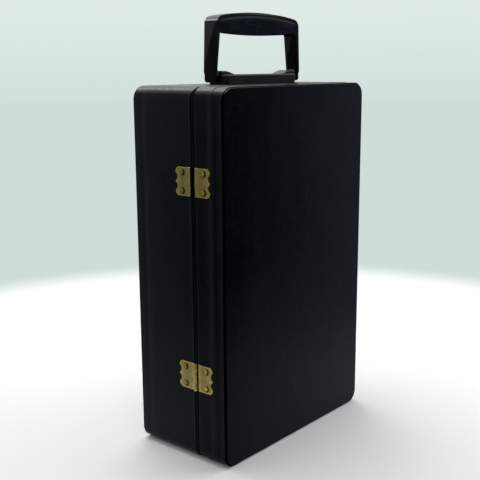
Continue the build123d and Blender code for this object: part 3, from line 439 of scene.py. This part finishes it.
def round_edges(piece, width, segments, sharp, materials, clamp=False):
    """Joins the piece's flat faces and rounds its sharp edges, which take the last material."""
    bpy.ops.object.select_all(action="DESELECT")
    piece.select_set(True)
    bpy.context.view_layer.objects.active = piece
    bpy.ops.object.mode_set(mode="EDIT")
    bpy.ops.mesh.select_all(action="SELECT")
    bpy.ops.mesh.remove_doubles(threshold=0.00001)
    bpy.ops.mesh.dissolve_limited(angle_limit=math.radians(1.0))
    bpy.ops.object.mode_set(mode="OBJECT")
    piece.data.materials.clear()
    for material in materials:
        piece.data.materials.append(material)
    for face in piece.data.polygons:
        face.material_index = 0
    rounding = piece.modifiers.new("rounded_edges", "BEVEL")
    rounding.width = width
    rounding.segments = segments
    rounding.limit_method = "ANGLE"
    rounding.angle_limit = math.radians(sharp)
    rounding.use_clamp_overlap = clamp
    rounding.material = len(materials) - 1
    bpy.ops.object.modifier_apply(modifier=rounding.name)
    bpy.ops.object.shade_smooth_by_angle(angle=math.radians(35))
    even = piece.modifiers.new("even_shading", "WEIGHTED_NORMAL")
    even.keep_sharp = True
    bpy.ops.object.modifier_apply(modifier=even.name)


def fit_instead(piece, source, body):
    """Lets a piece move with its body and stand for the CAD node."""
    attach(piece, body)
    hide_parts(source)


for source, body, width, felt_kind, slot in (
    ("body_lining", "body", 0.0004, red_felt, "lining"),
    ("lid_lining", "lid", 0.0004, red_felt, "lining"),
    ("locating_lip", "body", 0.0005, board_felt, "lining_board"),
    ("left_divider", "body", 0.0010, board_felt, "lining_board"),
    ("right_divider", "body", 0.0010, board_felt, "lining_board"),
    ("centre_shelf", "body", 0.0010, board_felt, "lining_board"),
    ("cup_fence", "body", 0.0009, board_felt, "lining_board"),
    ("shelf_fence", "body", 0.0009, board_felt, "lining_board"),
    ("tool_board", "lid", 0.0009, board_felt, "lining_board"),
):
    board = merged_copy(source)
    if source == "tool_board":
        close_rivet_holes(board)
    round_edges(board, width, 3, 40, [felt_kind])
    fit_instead(board, source, body)

# Stamped brass
# Hinge leaves and catch plates are stamped from thin brass sheet with scalloped ends. They have tarnished to
# olive in the middle, with brown stains and small pits, and their edges are rubbed bright. A strip across
# each hinge's knuckles is painted black as shade, each screw has a dark ring of grime and painted shade, and
# each screw head is painted with a highlight on one side and shade on the other.
brown_dull, olive_dull, bright_edge = (0.420, 0.315, 0.112, 1), (0.375, 0.380, 0.180, 1), (0.90, 0.72, 0.26, 1)
pit_colour, grime_and_shade_colour = (0.06, 0.04, 0.018, 1), (0.022, 0.016, 0.007, 1)
knuckle_shade_colour, screw_highlight_colour, screw_shade_colour = (0.004, 0.003, 0.002, 1), (1.0, 0.92, 0.55, 1), (0.060, 0.045, 0.020, 1)
aged_brass, given, result = effect(
    "aged_brass",
    (
        ("Bright", "Color", (0.98, 0.80, 0.30, 1)),
        ("Tarnish", "Color", (0.66, 0.555, 0.160, 1)),
        ("Stain", "Color", (0.15, 0.105, 0.035, 1)),
        ("Half size", "Vector", (1, 1, 1)),
        ("Screw place", "Vector", (1, 1, 1)),
        ("Rubbed edge", "Float", 0.0016),
        ("Shade from", "Float", 1.0),
        ("Shade to", "Float", 1.0),
        ("Dullness", "Float", 1.0),
        ("Painted rims", "Float", 0.0),
    ),
)
tree = aged_brass
patches, stains = (
    node(tree, "TexNoise", {"Vector": given["Position"], "Scale": scale, "Detail": 4.0, "Roughness": 0.6})
    for scale in (130.0, 330.0)
)
pits = node(tree, "TexVoronoi", {"Vector": given["Position"], "Scale": 1300.0}, feature="F1")
brushed_map = node(tree, "Mapping", {"Vector": given["Position"], "Scale": (3500, 3500, 160)})
brushed = node(tree, "TexNoise", {"Vector": brushed_map.outputs[0], "Scale": 1.0, "Detail": 2.0})
reach = vector_calc(tree, "ABSOLUTE", given["Position"])
inside = vector_calc(tree, "SUBTRACT", given["Half size"], reach)
inside = node(tree, "SeparateXYZ", {0: inside})
nearest = calc(tree, "MINIMUM", inside.outputs["Y"], inside.outputs["Z"])
middle = span(tree, nearest, 0.0004, given["Rubbed edge"], curve="SMOOTHSTEP")
tarnished = calc(tree, "MULTIPLY", middle, span(tree, patches.outputs["Fac"], 0.32, 0.62, 0.25, 1.0))
metal = mix(tree, tarnished, given["Bright"], given["Tarnish"])
across = node(tree, "SeparateXYZ", {0: given["Position"]})
seam_reach = calc(tree, "ABSOLUTE", across.outputs["Y"])
dulled = profile(tree, seam_reach, 0.0, 0.024, (
    (0.0, 0.0), (0.0035, 0.0), (0.0070, 0.55), (0.0115, 0.85), (0.0160, 0.60), (0.0200, 0.15), (0.024, 0.0),
))
dulled = calc(tree, "MULTIPLY", dulled, middle)
dull_tone = mix(tree, span(tree, across.outputs["Y"], -0.001, 0.001), brown_dull, olive_dull)
metal = mix(tree, dulled, metal, dull_tone)
metal = mix(tree, span(tree, brushed.outputs["Fac"], 0.40, 0.66, 0.0, 0.38), metal, given["Stain"])
stained = calc(tree, "MULTIPLY", middle, span(tree, stains.outputs["Fac"], 0.52, 0.68, 0.0, 0.45))
metal = mix(tree, stained, metal, given["Stain"])
pitted = span(tree, pits.outputs["Distance"], 0.24, 0.12)
pitted = calc(tree, "MULTIPLY", pitted, span(tree, stains.outputs["Fac"], 0.50, 0.62, 0.0, 0.7))
metal = mix(tree, pitted, metal, pit_colour)
# A dark ring round each screw head, set slightly off its centre: grime, with painted shade where the head meets
# the plate.
round_screw = vector_calc(tree, "ADD", given["Position"], (0, 0.0004, 0.0002))
round_screw = vector_calc(tree, "ABSOLUTE", round_screw)
round_screw = vector_calc(tree, "SUBTRACT", round_screw, given["Screw place"])
round_screw = vector_calc(tree, "MULTIPLY", round_screw, (0, 1, 1))
round_screw = vector_calc(tree, "LENGTH", round_screw)
grime_and_shade_ring = span(tree, round_screw, 0.0040, 0.0030, 0.0, 0.95)
metal = mix(tree, grime_and_shade_ring, metal, grime_and_shade_colour)
# A strip across the hinge's knuckles, between the given places, is painted black as shade and made rougher.
dark_start = calc(tree, "GREATER_THAN", across.outputs["Y"], given["Shade from"])
dark_end = calc(tree, "LESS_THAN", across.outputs["Y"], given["Shade to"])
painted_black_shade = calc(tree, "MULTIPLY", dark_start, dark_end)
metal = mix(tree, painted_black_shade, metal, knuckle_shade_colour)
# Each screw head is painted with a highlight on the side that faces the deep half and with shade on the side that
# faces the shallow half.
facing = node(tree, "SeparateXYZ", {0: node(tree, "TexCoord").outputs["Normal"]})
painted_highlight_rim = calc(tree, "MULTIPLY", span(tree, facing.outputs["Y"], 0.15, 0.45), given["Painted rims"])
metal = mix(tree, painted_highlight_rim, metal, screw_highlight_colour)
painted_shade_rim = calc(tree, "MULTIPLY", span(tree, facing.outputs["Y"], -0.10, -0.35), given["Painted rims"])
metal = mix(tree, painted_shade_rim, metal, screw_shade_colour)
tree.links.new(metal, result["Color"])
dull = span(tree, tarnished, 0, 1, 0.24, 0.46)
dull = calc(tree, "MULTIPLY_ADD", painted_black_shade, 0.3, dull)
dull = calc(tree, "MULTIPLY", dull, given["Dullness"])
tree.links.new(dull, result["Roughness"])
worn = calc(tree, "MULTIPLY_ADD", pitted, -0.6, patches.outputs["Fac"])
worn = calc(tree, "MULTIPLY_ADD", brushed.outputs["Fac"], 0.12, worn)
tree.links.new(worn, result["Height"])


def stamp_end(plate, outer_end, side, level):
    """Cuts the free end of a plate to rounded lobes with two deep bites and a cusp between them."""
    away = 1 if outer_end > seam_y else -1
    start = seam_y - away * past_seam
    bpy.ops.object.select_all(action="DESELECT")
    bpy.ops.mesh.primitive_cube_add(size=1, location=(side * plate_x, (start + outer_end) / 2, level))
    blank = bpy.context.object
    blank.scale = (blank_thickness, abs(outer_end - start), plate_height)
    bpy.ops.object.transform_apply(location=True, rotation=True, scale=True)
    for item in list(blank.data.vertices) + list(blank.data.polygons):
        item.select = False
    for edge in blank.data.edges:
        first, second = (blank.data.vertices[index].co for index in edge.vertices)
        edge.select = abs(first.x - second.x) > 0.01 and abs(first.y - outer_end) < 1e-5
    bpy.ops.object.mode_set(mode="EDIT")
    bpy.ops.mesh.select_mode(type="EDGE")
    bpy.ops.mesh.bevel(offset=lobe_radius, segments=10)
    bpy.ops.object.mode_set(mode="OBJECT")
    cutters = [(blank, "INTERSECT")]
    bite_y = outer_end + away * (bite_radius - bite_depth)
    for bite_side in (-1, 1):
        bpy.ops.mesh.primitive_cylinder_add(
            vertices=48, radius=bite_radius, depth=punch_length, rotation=(0, math.pi / 2, 0),
            location=(side * plate_x, bite_y, level + bite_side * bite_place),
        )
        bpy.ops.object.transform_apply(location=True, rotation=True, scale=True)
        cutters.append((bpy.context.object, "DIFFERENCE"))
    bpy.ops.object.select_all(action="DESELECT")
    bpy.context.view_layer.objects.active = plate
    for cutter, kind in cutters:
        cut = plate.modifiers.new("stamping", "BOOLEAN")
        cut.object = cutter
        cut.operation = kind
        cut.solver = "EXACT"
        bpy.ops.object.modifier_apply(modifier=cut.name)
        bpy.data.objects.remove(cutter)


def worn_plate(source, outer_end, side, level, body, materials):
    """A stamped plate made from a CAD node's mesh, its free end cut to shape and its edges rubbed bright."""
    plate = merged_copy(source)
    if outer_end is not None:
        stamp_end(plate, outer_end, side, level)
    round_edges(plate, worn_edge, 2, 40, materials)
    fit_instead(plate, source, body)


plate_x, plate_height, worn_edge = 0.1245, 0.0285, 0.00034
past_seam, blank_thickness, punch_length = 0.004, 0.018, 0.02
lobe_radius, bite_radius, bite_depth, bite_place = 0.0050, 0.0044, 0.0025, 0.0047
hinge_reach, catch_reach, keeper_reach = 0.02275, 0.0310, 0.0280
lever_reach, lever_half_height = 0.0300, 0.0073
ends = {"lower": 0.0911, "upper": 0.2899}
# Each hinge's strip of painted black shade across its knuckles, given as distances from the seam.
knuckles = {"lower": (-0.0037, -0.0021), "upper": (-0.0024, 0.0022)}
metallic = {"Metallic": 1.0}
edge_brass = finish("rubbed_brass_edge", aged_brass, {"Tarnish": bright_edge}, 0.00004, metallic)
for end, level in ends.items():
    plate_middle = (0, seam_y, level)
    knuckle_shade = {"Shade from": knuckles[end][0], "Shade to": knuckles[end][1]}
    hinge_brass = finish(end + "_hinge_brass", aged_brass, {
        "Half size": (1, hinge_reach, plate_height / 2), "Screw place": (0, 0.0140, 0.0090), **knuckle_shade,
    }, 0.00014, metallic, plate_middle)
    hinge_edge = finish(end + "_hinge_edge", aged_brass, {
        "Tarnish": bright_edge, **knuckle_shade,
    }, 0.00004, metallic, plate_middle)
    metals = [hinge_brass, hinge_edge]
    worn_plate(end + "_hinge_body_leaf", seam_y + hinge_reach, -1, level, "body", metals)
    worn_plate(end + "_hinge_lid_leaf", seam_y - hinge_reach, -1, level, "lid", metals)
    plate_brass = finish(end + "_catch_plate_brass", aged_brass, {
        "Half size": (1, catch_reach, plate_height / 2), "Screw place": (0, 0.0240, 0.0108),
    }, 0.00010, metallic, plate_middle)
    keeper_brass = finish(end + "_keeper_brass", aged_brass, {
        "Half size": (1, keeper_reach, plate_height / 2), "Screw place": (0, 0.0200, 0.0090),
    }, 0.00010, metallic, plate_middle)
    lever_brass = finish(end + "_lever_brass", aged_brass, {
        "Half size": (1, lever_reach, lever_half_height),
    }, 0.00006, metallic, plate_middle)
    worn_plate(end + "_catch_plate", seam_y + catch_reach, 1, level, "body", [plate_brass, edge_brass])
    worn_plate(end + "_catch_keeper", None, 1, level, "lid", [keeper_brass, edge_brass])
    worn_plate(end + "_catch_lever", None, 1, level, end + "_lever", [lever_brass, edge_brass])
    paint([end + "_catch_loop"], edge_brass)
pin_brass = finish("blackened_pin", aged_brass, {
    "Tarnish": (0.010, 0.008, 0.005, 1), "Bright": (0.03, 0.02, 0.01, 1),
}, 0.00003, metallic)
paint(["hinge_pins"], pin_brass)
# Screw heads take the painted highlight and shade rims.
screw_brass = finish("screw_brass", aged_brass, {
    "Tarnish": (0.62, 0.49, 0.18, 1), "Dullness": 0.55, "Painted rims": 1.0,
}, 0.00002, metallic)
paint([
    "catch_pins", "hinge_body_screws", "hinge_lid_screws", "catch_plate_screws",
    "catch_keeper_screws", "strap_studs", "loop_rivets",
], screw_brass)

# Moulded handle
# Grip and base strip are moulded in black plastic. The grip has painted light: a highlight along its front
# edge and at its shoulders and a pale wedge on its legs' outer faces; its top and lower legs are painted black
# as shade, and its shoulders' upward faces are paler. The base is duller and a little browner, painted paler on
# its ledges as light and black at its foot as the shadow under it. Steel screws and pins hold them.
crown_curve = 1.3208
grip_shade_colour, edge_highlight_colour = (0.0004, 0.0007, 0.0012, 1), (0.040, 0.048, 0.060, 1)
wedge_light_colour, shoulder_top_colour = (0.026, 0.024, 0.030, 1), (0.125, 0.130, 0.130, 1)
shoulder_highlight_colour, ledge_light_colour = (0.42, 0.43, 0.44, 1), (0.066, 0.066, 0.068, 1)
foot_shade_colour = (0.0008, 0.0008, 0.0010, 1)
moulding, given, result = effect(
    "moulded_plastic",
    (
        ("Base", "Color", (0.0022, 0.0044, 0.0092, 1)),
        ("Scuffed", "Color", (0.0075, 0.0115, 0.0200, 1)),
        ("Gloss", "Float", 0.22),
        ("Painted grip light and shade", "Float", 0.0),
        ("Painted base light and shade", "Float", 0.0),
    ),
)
tree = moulding
cloud = node(tree, "TexNoise", {"Vector": given["Position"], "Scale": 60.0, "Detail": 5.0, "Roughness": 0.65})
scratch_map = node(tree, "Mapping", {"Vector": given["Position"], "Scale": (60, 900, 900)})
scratch = node(tree, "TexNoise", {"Vector": scratch_map.outputs[0], "Scale": 1.0, "Detail": 2.0})
orange_peel = node(tree, "TexNoise", {"Vector": given["Position"], "Scale": 700.0, "Detail": 1.0})
scratched = span(tree, scratch.outputs["Fac"], 0.5, 0.7, 0.0, 0.5)
scuffed = calc(tree, "ADD", span(tree, cloud.outputs["Fac"], 0.42, 0.7, 0.0, 0.6), scratched, clamp=True)
moulded = mix(tree, scuffed, given["Base"], given["Scuffed"])
at = node(tree, "SeparateXYZ", {0: given["Position"]})
facing = node(tree, "SeparateXYZ", {0: node(tree, "TexCoord").outputs["Normal"]})
end_place = calc(tree, "ABSOLUTE", at.outputs["X"])
outward = calc(tree, "ABSOLUTE", facing.outputs["X"])
crown = calc(tree, "MULTIPLY", at.outputs["X"], at.outputs["X"])
crown = calc(tree, "MULTIPLY_ADD", crown, crown_curve, at.outputs["Z"])
# The grip's top, above a line that curves down towards its ends, and the lower parts of its legs are painted near
# black as shade and made rougher.
painted_top_shade = span(tree, crown, 0.4496, 0.4502)
painted_leg_shade = span(tree, at.outputs["Z"], 0.440, 0.424)
painted_leg_shade = calc(tree, "MULTIPLY", painted_leg_shade, span(tree, end_place, 0.0520, 0.0600))
painted_black_shade = calc(tree, "MAXIMUM", painted_top_shade, painted_leg_shade)
painted_black_shade = calc(tree, "MULTIPLY", painted_black_shade, given["Painted grip light and shade"])
moulded = mix(tree, painted_black_shade, moulded, grip_shade_colour)
# A painted highlight along the grip's front edge, just below the black top.
painted_edge_highlight = profile(tree, crown, 0.4450, 0.4505, (
    (0.4450, 0.0), (0.4470, 0.08), (0.4480, 0.30), (0.4486, 1.0), (0.4494, 1.0), (0.4499, 0.0), (0.4505, 0.0),
))
painted_edge_highlight = calc(tree, "MULTIPLY", painted_edge_highlight, span(tree, facing.outputs["Y"], -0.3, -0.7))
painted_edge_highlight = calc(tree, "MULTIPLY", painted_edge_highlight, span(tree, end_place, 0.064, 0.056))
painted_edge_highlight = calc(tree, "MULTIPLY", painted_edge_highlight, given["Painted grip light and shade"])
moulded = mix(tree, painted_edge_highlight, moulded, edge_highlight_colour)
# A paler wedge painted as light on the legs' outward faces, above a sloping line.
painted_wedge_light = calc(tree, "MULTIPLY_ADD", at.outputs["Z"], 0.33, at.outputs["Y"])
painted_wedge_light = calc(tree, "MULTIPLY", span(tree, painted_wedge_light, 0.1385, 0.1405), span(tree, outward, 0.86, 0.96))
painted_wedge_light = calc(tree, "MULTIPLY", painted_wedge_light, span(tree, at.outputs["Z"], 0.395, 0.440, 0.55, 1.0))
painted_wedge_light = calc(tree, "MULTIPLY", painted_wedge_light, given["Painted grip light and shade"])
moulded = mix(tree, painted_wedge_light, moulded, wedge_light_colour)
shoulder = calc(tree, "MULTIPLY", span(tree, end_place, 0.0500, 0.0560), given["Painted grip light and shade"])
# The shoulders' upward faces are paler, in patches.
pale_shoulder_top = calc(tree, "MULTIPLY", shoulder, span(tree, facing.outputs["Z"], 0.60, 0.68))
pale_shoulder_top = calc(tree, "MULTIPLY", pale_shoulder_top, span(tree, orange_peel.outputs["Fac"], 0.3, 0.65, 0.45, 1.0))
moulded = mix(tree, pale_shoulder_top, moulded, shoulder_top_colour)
# A painted highlight on the shoulders, where their rounded faces turn from outward to upward.
pale_and_painted_light = profile(tree, facing.outputs["Z"], 0.40, 0.66, (
    (0.40, 0.0), (0.46, 0.15), (0.49, 1.0), (0.56, 1.0), (0.62, 0.2), (0.66, 0.0),
))
pale_and_painted_light = calc(tree, "MULTIPLY", pale_and_painted_light, shoulder)
pale_and_painted_light = calc(tree, "MULTIPLY", pale_and_painted_light, span(tree, outward, 0.60, 0.75))
moulded = mix(tree, pale_and_painted_light, moulded, shoulder_highlight_colour)
# The base's upward faces are painted paler as light.
painted_ledge_light = calc(tree, "MULTIPLY", span(tree, facing.outputs["Z"], 0.35, 0.65), given["Painted base light and shade"])
moulded = mix(tree, painted_ledge_light, moulded, ledge_light_colour)
# A band at the base's foot, just above the case top, is painted near black as the shadow under the base.
painted_foot_shade = calc(tree, "MULTIPLY", span(tree, at.outputs["Z"], 0.3832, 0.3822), given["Painted base light and shade"])
moulded = mix(tree, painted_foot_shade, moulded, foot_shade_colour)
tree.links.new(moulded, result["Color"])
dull = calc(tree, "MULTIPLY_ADD", scuffed, 0.14, given["Gloss"])
dull = calc(tree, "MULTIPLY_ADD", painted_black_shade, 0.25, dull)
tree.links.new(dull, result["Roughness"])
relief = calc(tree, "MULTIPLY_ADD", scratch.outputs["Fac"], 0.4, orange_peel.outputs["Fac"])
tree.links.new(relief, result["Height"])
grip_plastic = finish("grip_plastic", moulding, {"Painted grip light and shade": 1.0}, 0.00002, {"Specular IOR Level": 0.12})
base_plastic = finish("base_plastic", moulding, {
    "Base": (0.0048, 0.0044, 0.0056, 1), "Scuffed": (0.015, 0.0140, 0.0160, 1), "Gloss": 0.40,
    "Painted base light and shade": 1.0,
}, 0.00005, {"Specular IOR Level": 0.22})
grip = merged_copy("handle_grip")
round_edges(grip, 0.0007, 3, 20, [grip_plastic], clamp=True)
fit_instead(grip, "handle_grip", "handle")
base = merged_copy("handle_base")
round_edges(base, 0.0005, 3, 30, [base_plastic], clamp=True)
fit_instead(base, "handle_base", "body")
steel = finish("plain_steel", moulding, {
    "Base": (0.32, 0.32, 0.33, 1), "Scuffed": (0.45, 0.45, 0.45, 1),
}, 0.00003, metallic)
paint(["handle_screws", "handle_pins"], steel)

# Bottle straps
# A strap of doubled leathercloth bows across each bottle bay, with two rows of stitching and a tab at each
# end that is held to the side wall and to the divider by a press stud.
coating, worn_coating = (0.006, 0.007, 0.008, 1), (0.018, 0.020, 0.023, 1)
rim_colour, thread_colour = (0.035, 0.033, 0.032, 1), (0.075, 0.070, 0.062, 1)
strap_cloth, given, result = effect("stitched_strap", (("Along", "Float", 0.0), ("Across", "Float", 0.0)))
tree = strap_cloth
pores = node(tree, "TexVoronoi", {"Vector": given["Position"], "Scale": 1150.0}, feature="SMOOTH_F1")
cloud = node(tree, "TexNoise", {"Vector": given["Position"], "Scale": 45.0, "Detail": 4.0})
from_edge = calc(tree, "SUBTRACT", given["Across"], 0.5)
from_edge = calc(tree, "ABSOLUTE", from_edge)
row = calc(tree, "SUBTRACT", from_edge, 0.41)
row = calc(tree, "ABSOLUTE", row)
row = span(tree, row, 0.018, 0.010)
step = calc(tree, "MULTIPLY", given["Along"], 320.0)
step = calc(tree, "FRACT", step)
step = calc(tree, "SUBTRACT", step, 0.5)
step = calc(tree, "ABSOLUTE", step)
step = span(tree, step, 0.36, 0.28)
stitch = calc(tree, "MULTIPLY", row, step)
worn_rim = span(tree, from_edge, 0.45, 0.50, 0.0, 0.8)
black = mix(tree, span(tree, cloud.outputs["Fac"], 0.4, 0.65), coating, worn_coating)
black = mix(tree, worn_rim, black, rim_colour)
tree.links.new(mix(tree, stitch, black, thread_colour), result["Color"])
tree.links.new(span(tree, cloud.outputs["Fac"], 0.3, 0.7, 0.38, 0.52), result["Roughness"])
relief = calc(tree, "MULTIPLY_ADD", pores.outputs["Distance"], 0.35, stitch)
tree.links.new(relief, result["Height"])


def follow_surface(material):
    """Feeds a tape's pattern from the piece's own map, which runs along and across the tape."""
    tree = material.node_tree
    worked = next(item for item in tree.nodes if item.bl_idname == "ShaderNodeGroup")
    lengthwise = node(tree, "SeparateXYZ", {0: node(tree, "TexCoord").outputs["UV"]})
    tree.links.new(lengthwise.outputs["X"], worked.inputs["Along"])
    tree.links.new(lengthwise.outputs["Y"], worked.inputs["Across"])
    return material


def lay_tape(name, line, level, width, thickness, material):
    """A tape whose middle follows a line of (x, y) places, with soft thin edges."""
    rows = 8
    bpy.ops.object.select_all(action="DESELECT")
    bpy.ops.mesh.primitive_grid_add(x_subdivisions=len(line) - 1, y_subdivisions=rows, size=1)
    tape = bpy.context.object
    tape.name = name
    run = [0.0]
    for start, end in zip(line, line[1:]):
        run.append(run[-1] + math.dist(start, end))
    columns = {}
    for vertex in tape.data.vertices:
        column = round((vertex.co.x + 0.5) * (len(line) - 1))
        columns[vertex.index] = (column, vertex.co.y + 0.5)
    for vertex in tape.data.vertices:
        column, across = columns[vertex.index]
        vertex.co = (line[column][0], line[column][1], level + (across - 0.5) * width)
    for loop, place in zip(tape.data.loops, tape.data.uv_layers[0].data):
        column, across = columns[loop.vertex_index]
        place.uv = (run[column], across)
    wall = tape.modifiers.new("thickness", "SOLIDIFY")
    wall.thickness = thickness
    wall.offset = 0
    bpy.ops.object.modifier_apply(modifier=wall.name)
    soft = tape.modifiers.new("soft_edges", "BEVEL")
    soft.width = thickness * 0.3
    soft.segments = 3
    soft.limit_method = "ANGLE"
    soft.angle_limit = math.radians(60)
    bpy.ops.object.modifier_apply(modifier=soft.name)
    bpy.ops.object.shade_smooth_by_angle(angle=math.radians(50))
    tape.data.materials.append(material)
    return tape


def bow(start_x, end_x, foot_y, rise, count):
    """Places along a circular bow between two feet, towards -Y for a negative rise."""
    half = abs(end_x - start_x) / 2
    radius = (half * half + rise * rise) / (2 * abs(rise))
    way = 1 if rise > 0 else -1
    spread = math.asin(half / radius) if abs(rise) < radius else math.pi - math.asin(half / radius)
    middle = (start_x + end_x) / 2
    across = 1 if end_x > start_x else -1
    centre_y = foot_y + rise - way * radius
    turns = [spread * (2 * index / count - 1) for index in range(count + 1)]
    return [
        (middle + across * radius * math.sin(turn), centre_y + way * radius * math.cos(turn)) for turn in turns
    ]


strap_finish = follow_surface(
    finish("stitched_leathercloth", strap_cloth, {}, 0.00025, {"Specular IOR Level": 0.3})
)
strap_level, strap_width, strap_thickness = 0.125, 0.0298, 0.0015
strap_rise, strap_steps, tab_steps = -0.0080, 36, 8
strap_wall, strap_post, strap_foot, strap_tab_end = 0.1100, 0.0318, -0.0099, 0.0040
for side, strap_name in ((-1, "left_bottle_strap"), (1, "right_bottle_strap")):
    drop = strap_foot - strap_tab_end
    tab_in = [(strap_post, strap_tab_end + drop * index / tab_steps) for index in range(tab_steps)]
    tab_out = [(strap_wall, strap_foot - drop * index / tab_steps) for index in range(1, tab_steps + 1)]
    line = tab_in + bow(strap_post, strap_wall, strap_foot, strap_rise, strap_steps) + tab_out
    line = [(side * x, y) for x, y in line]
    strap = lay_tape(strap_name + "_made", line, strap_level, strap_width, strap_thickness, strap_finish)
    fit_instead(strap, strap_name, "body")

# Tool loops
# Two tapes of woven black elastic cross the tool board. Each is held flat by rivets and bows out between
# them to grip the shanks of bar tools. Fine ribs run along the tape and the weave crosses them.
dark_yarn, pale_yarn, fluff_colour = (0.008, 0.008, 0.009, 1), (0.045, 0.044, 0.043, 1), (0.09, 0.088, 0.085, 1)
woven, given, result = effect("woven_elastic", (("Along", "Float", 0.0), ("Across", "Float", 0.0)))
tree = woven
ribs = calc(tree, "MULTIPLY", given["Across"], 150.0)
ribs = calc(tree, "SINE", ribs)
picks = calc(tree, "MULTIPLY", given["Along"], 9000.0)
picks = calc(tree, "SINE", picks)
weave = calc(tree, "MULTIPLY", ribs, picks)
weave = calc(tree, "MULTIPLY_ADD", ribs, 0.8, weave)
fluff = node(tree, "TexNoise", {"Vector": given["Position"], "Scale": 900.0, "Detail": 3.0})
thread = span(tree, weave, -1.2, 1.2)
yarn = mix(tree, thread, dark_yarn, pale_yarn)
yarn = mix(tree, span(tree, fluff.outputs["Fac"], 0.55, 0.8, 0, 0.6), yarn, fluff_colour)
tree.links.new(yarn, result["Color"])
tree.links.new(span(tree, fluff.outputs["Fac"], 0.3, 0.7, 0.7, 0.9), result["Roughness"])
tree.links.new(thread, result["Height"])
elastic_finish = follow_surface(
    finish("black_elastic", woven, {}, 0.00018, {"Specular IOR Level": 0.25, "Sheen Weight": 0.3})
)
loop_count, loop_pitch, loop_half, loop_rise, loop_steps = 5, 0.035, 0.0123, 0.0098, 24
flat_y, foot_flat, tape_tail = -0.0516, 0.0030, 0.0044
elastic_width, elastic_thickness = 0.0198, 0.0011
for tape_name, level in (("lower_tool_loops", 0.125), ("upper_tool_loops", 0.255)):
    tape_end = loop_count / 2 * loop_pitch + tape_tail
    line = [(-tape_end, flat_y)]
    for index in range(loop_count):
        centre = (index - (loop_count - 1) / 2) * loop_pitch
        line.append((centre - loop_half - foot_flat, flat_y))
        line += bow(centre - loop_half, centre + loop_half, flat_y, loop_rise, loop_steps)
        line.append((centre + loop_half + foot_flat, flat_y))
    line.append((tape_end, flat_y))
    tape = lay_tape(tape_name + "_made", line, level, elastic_width, elastic_thickness, elastic_finish)
    fit_instead(tape, tape_name, "lid")
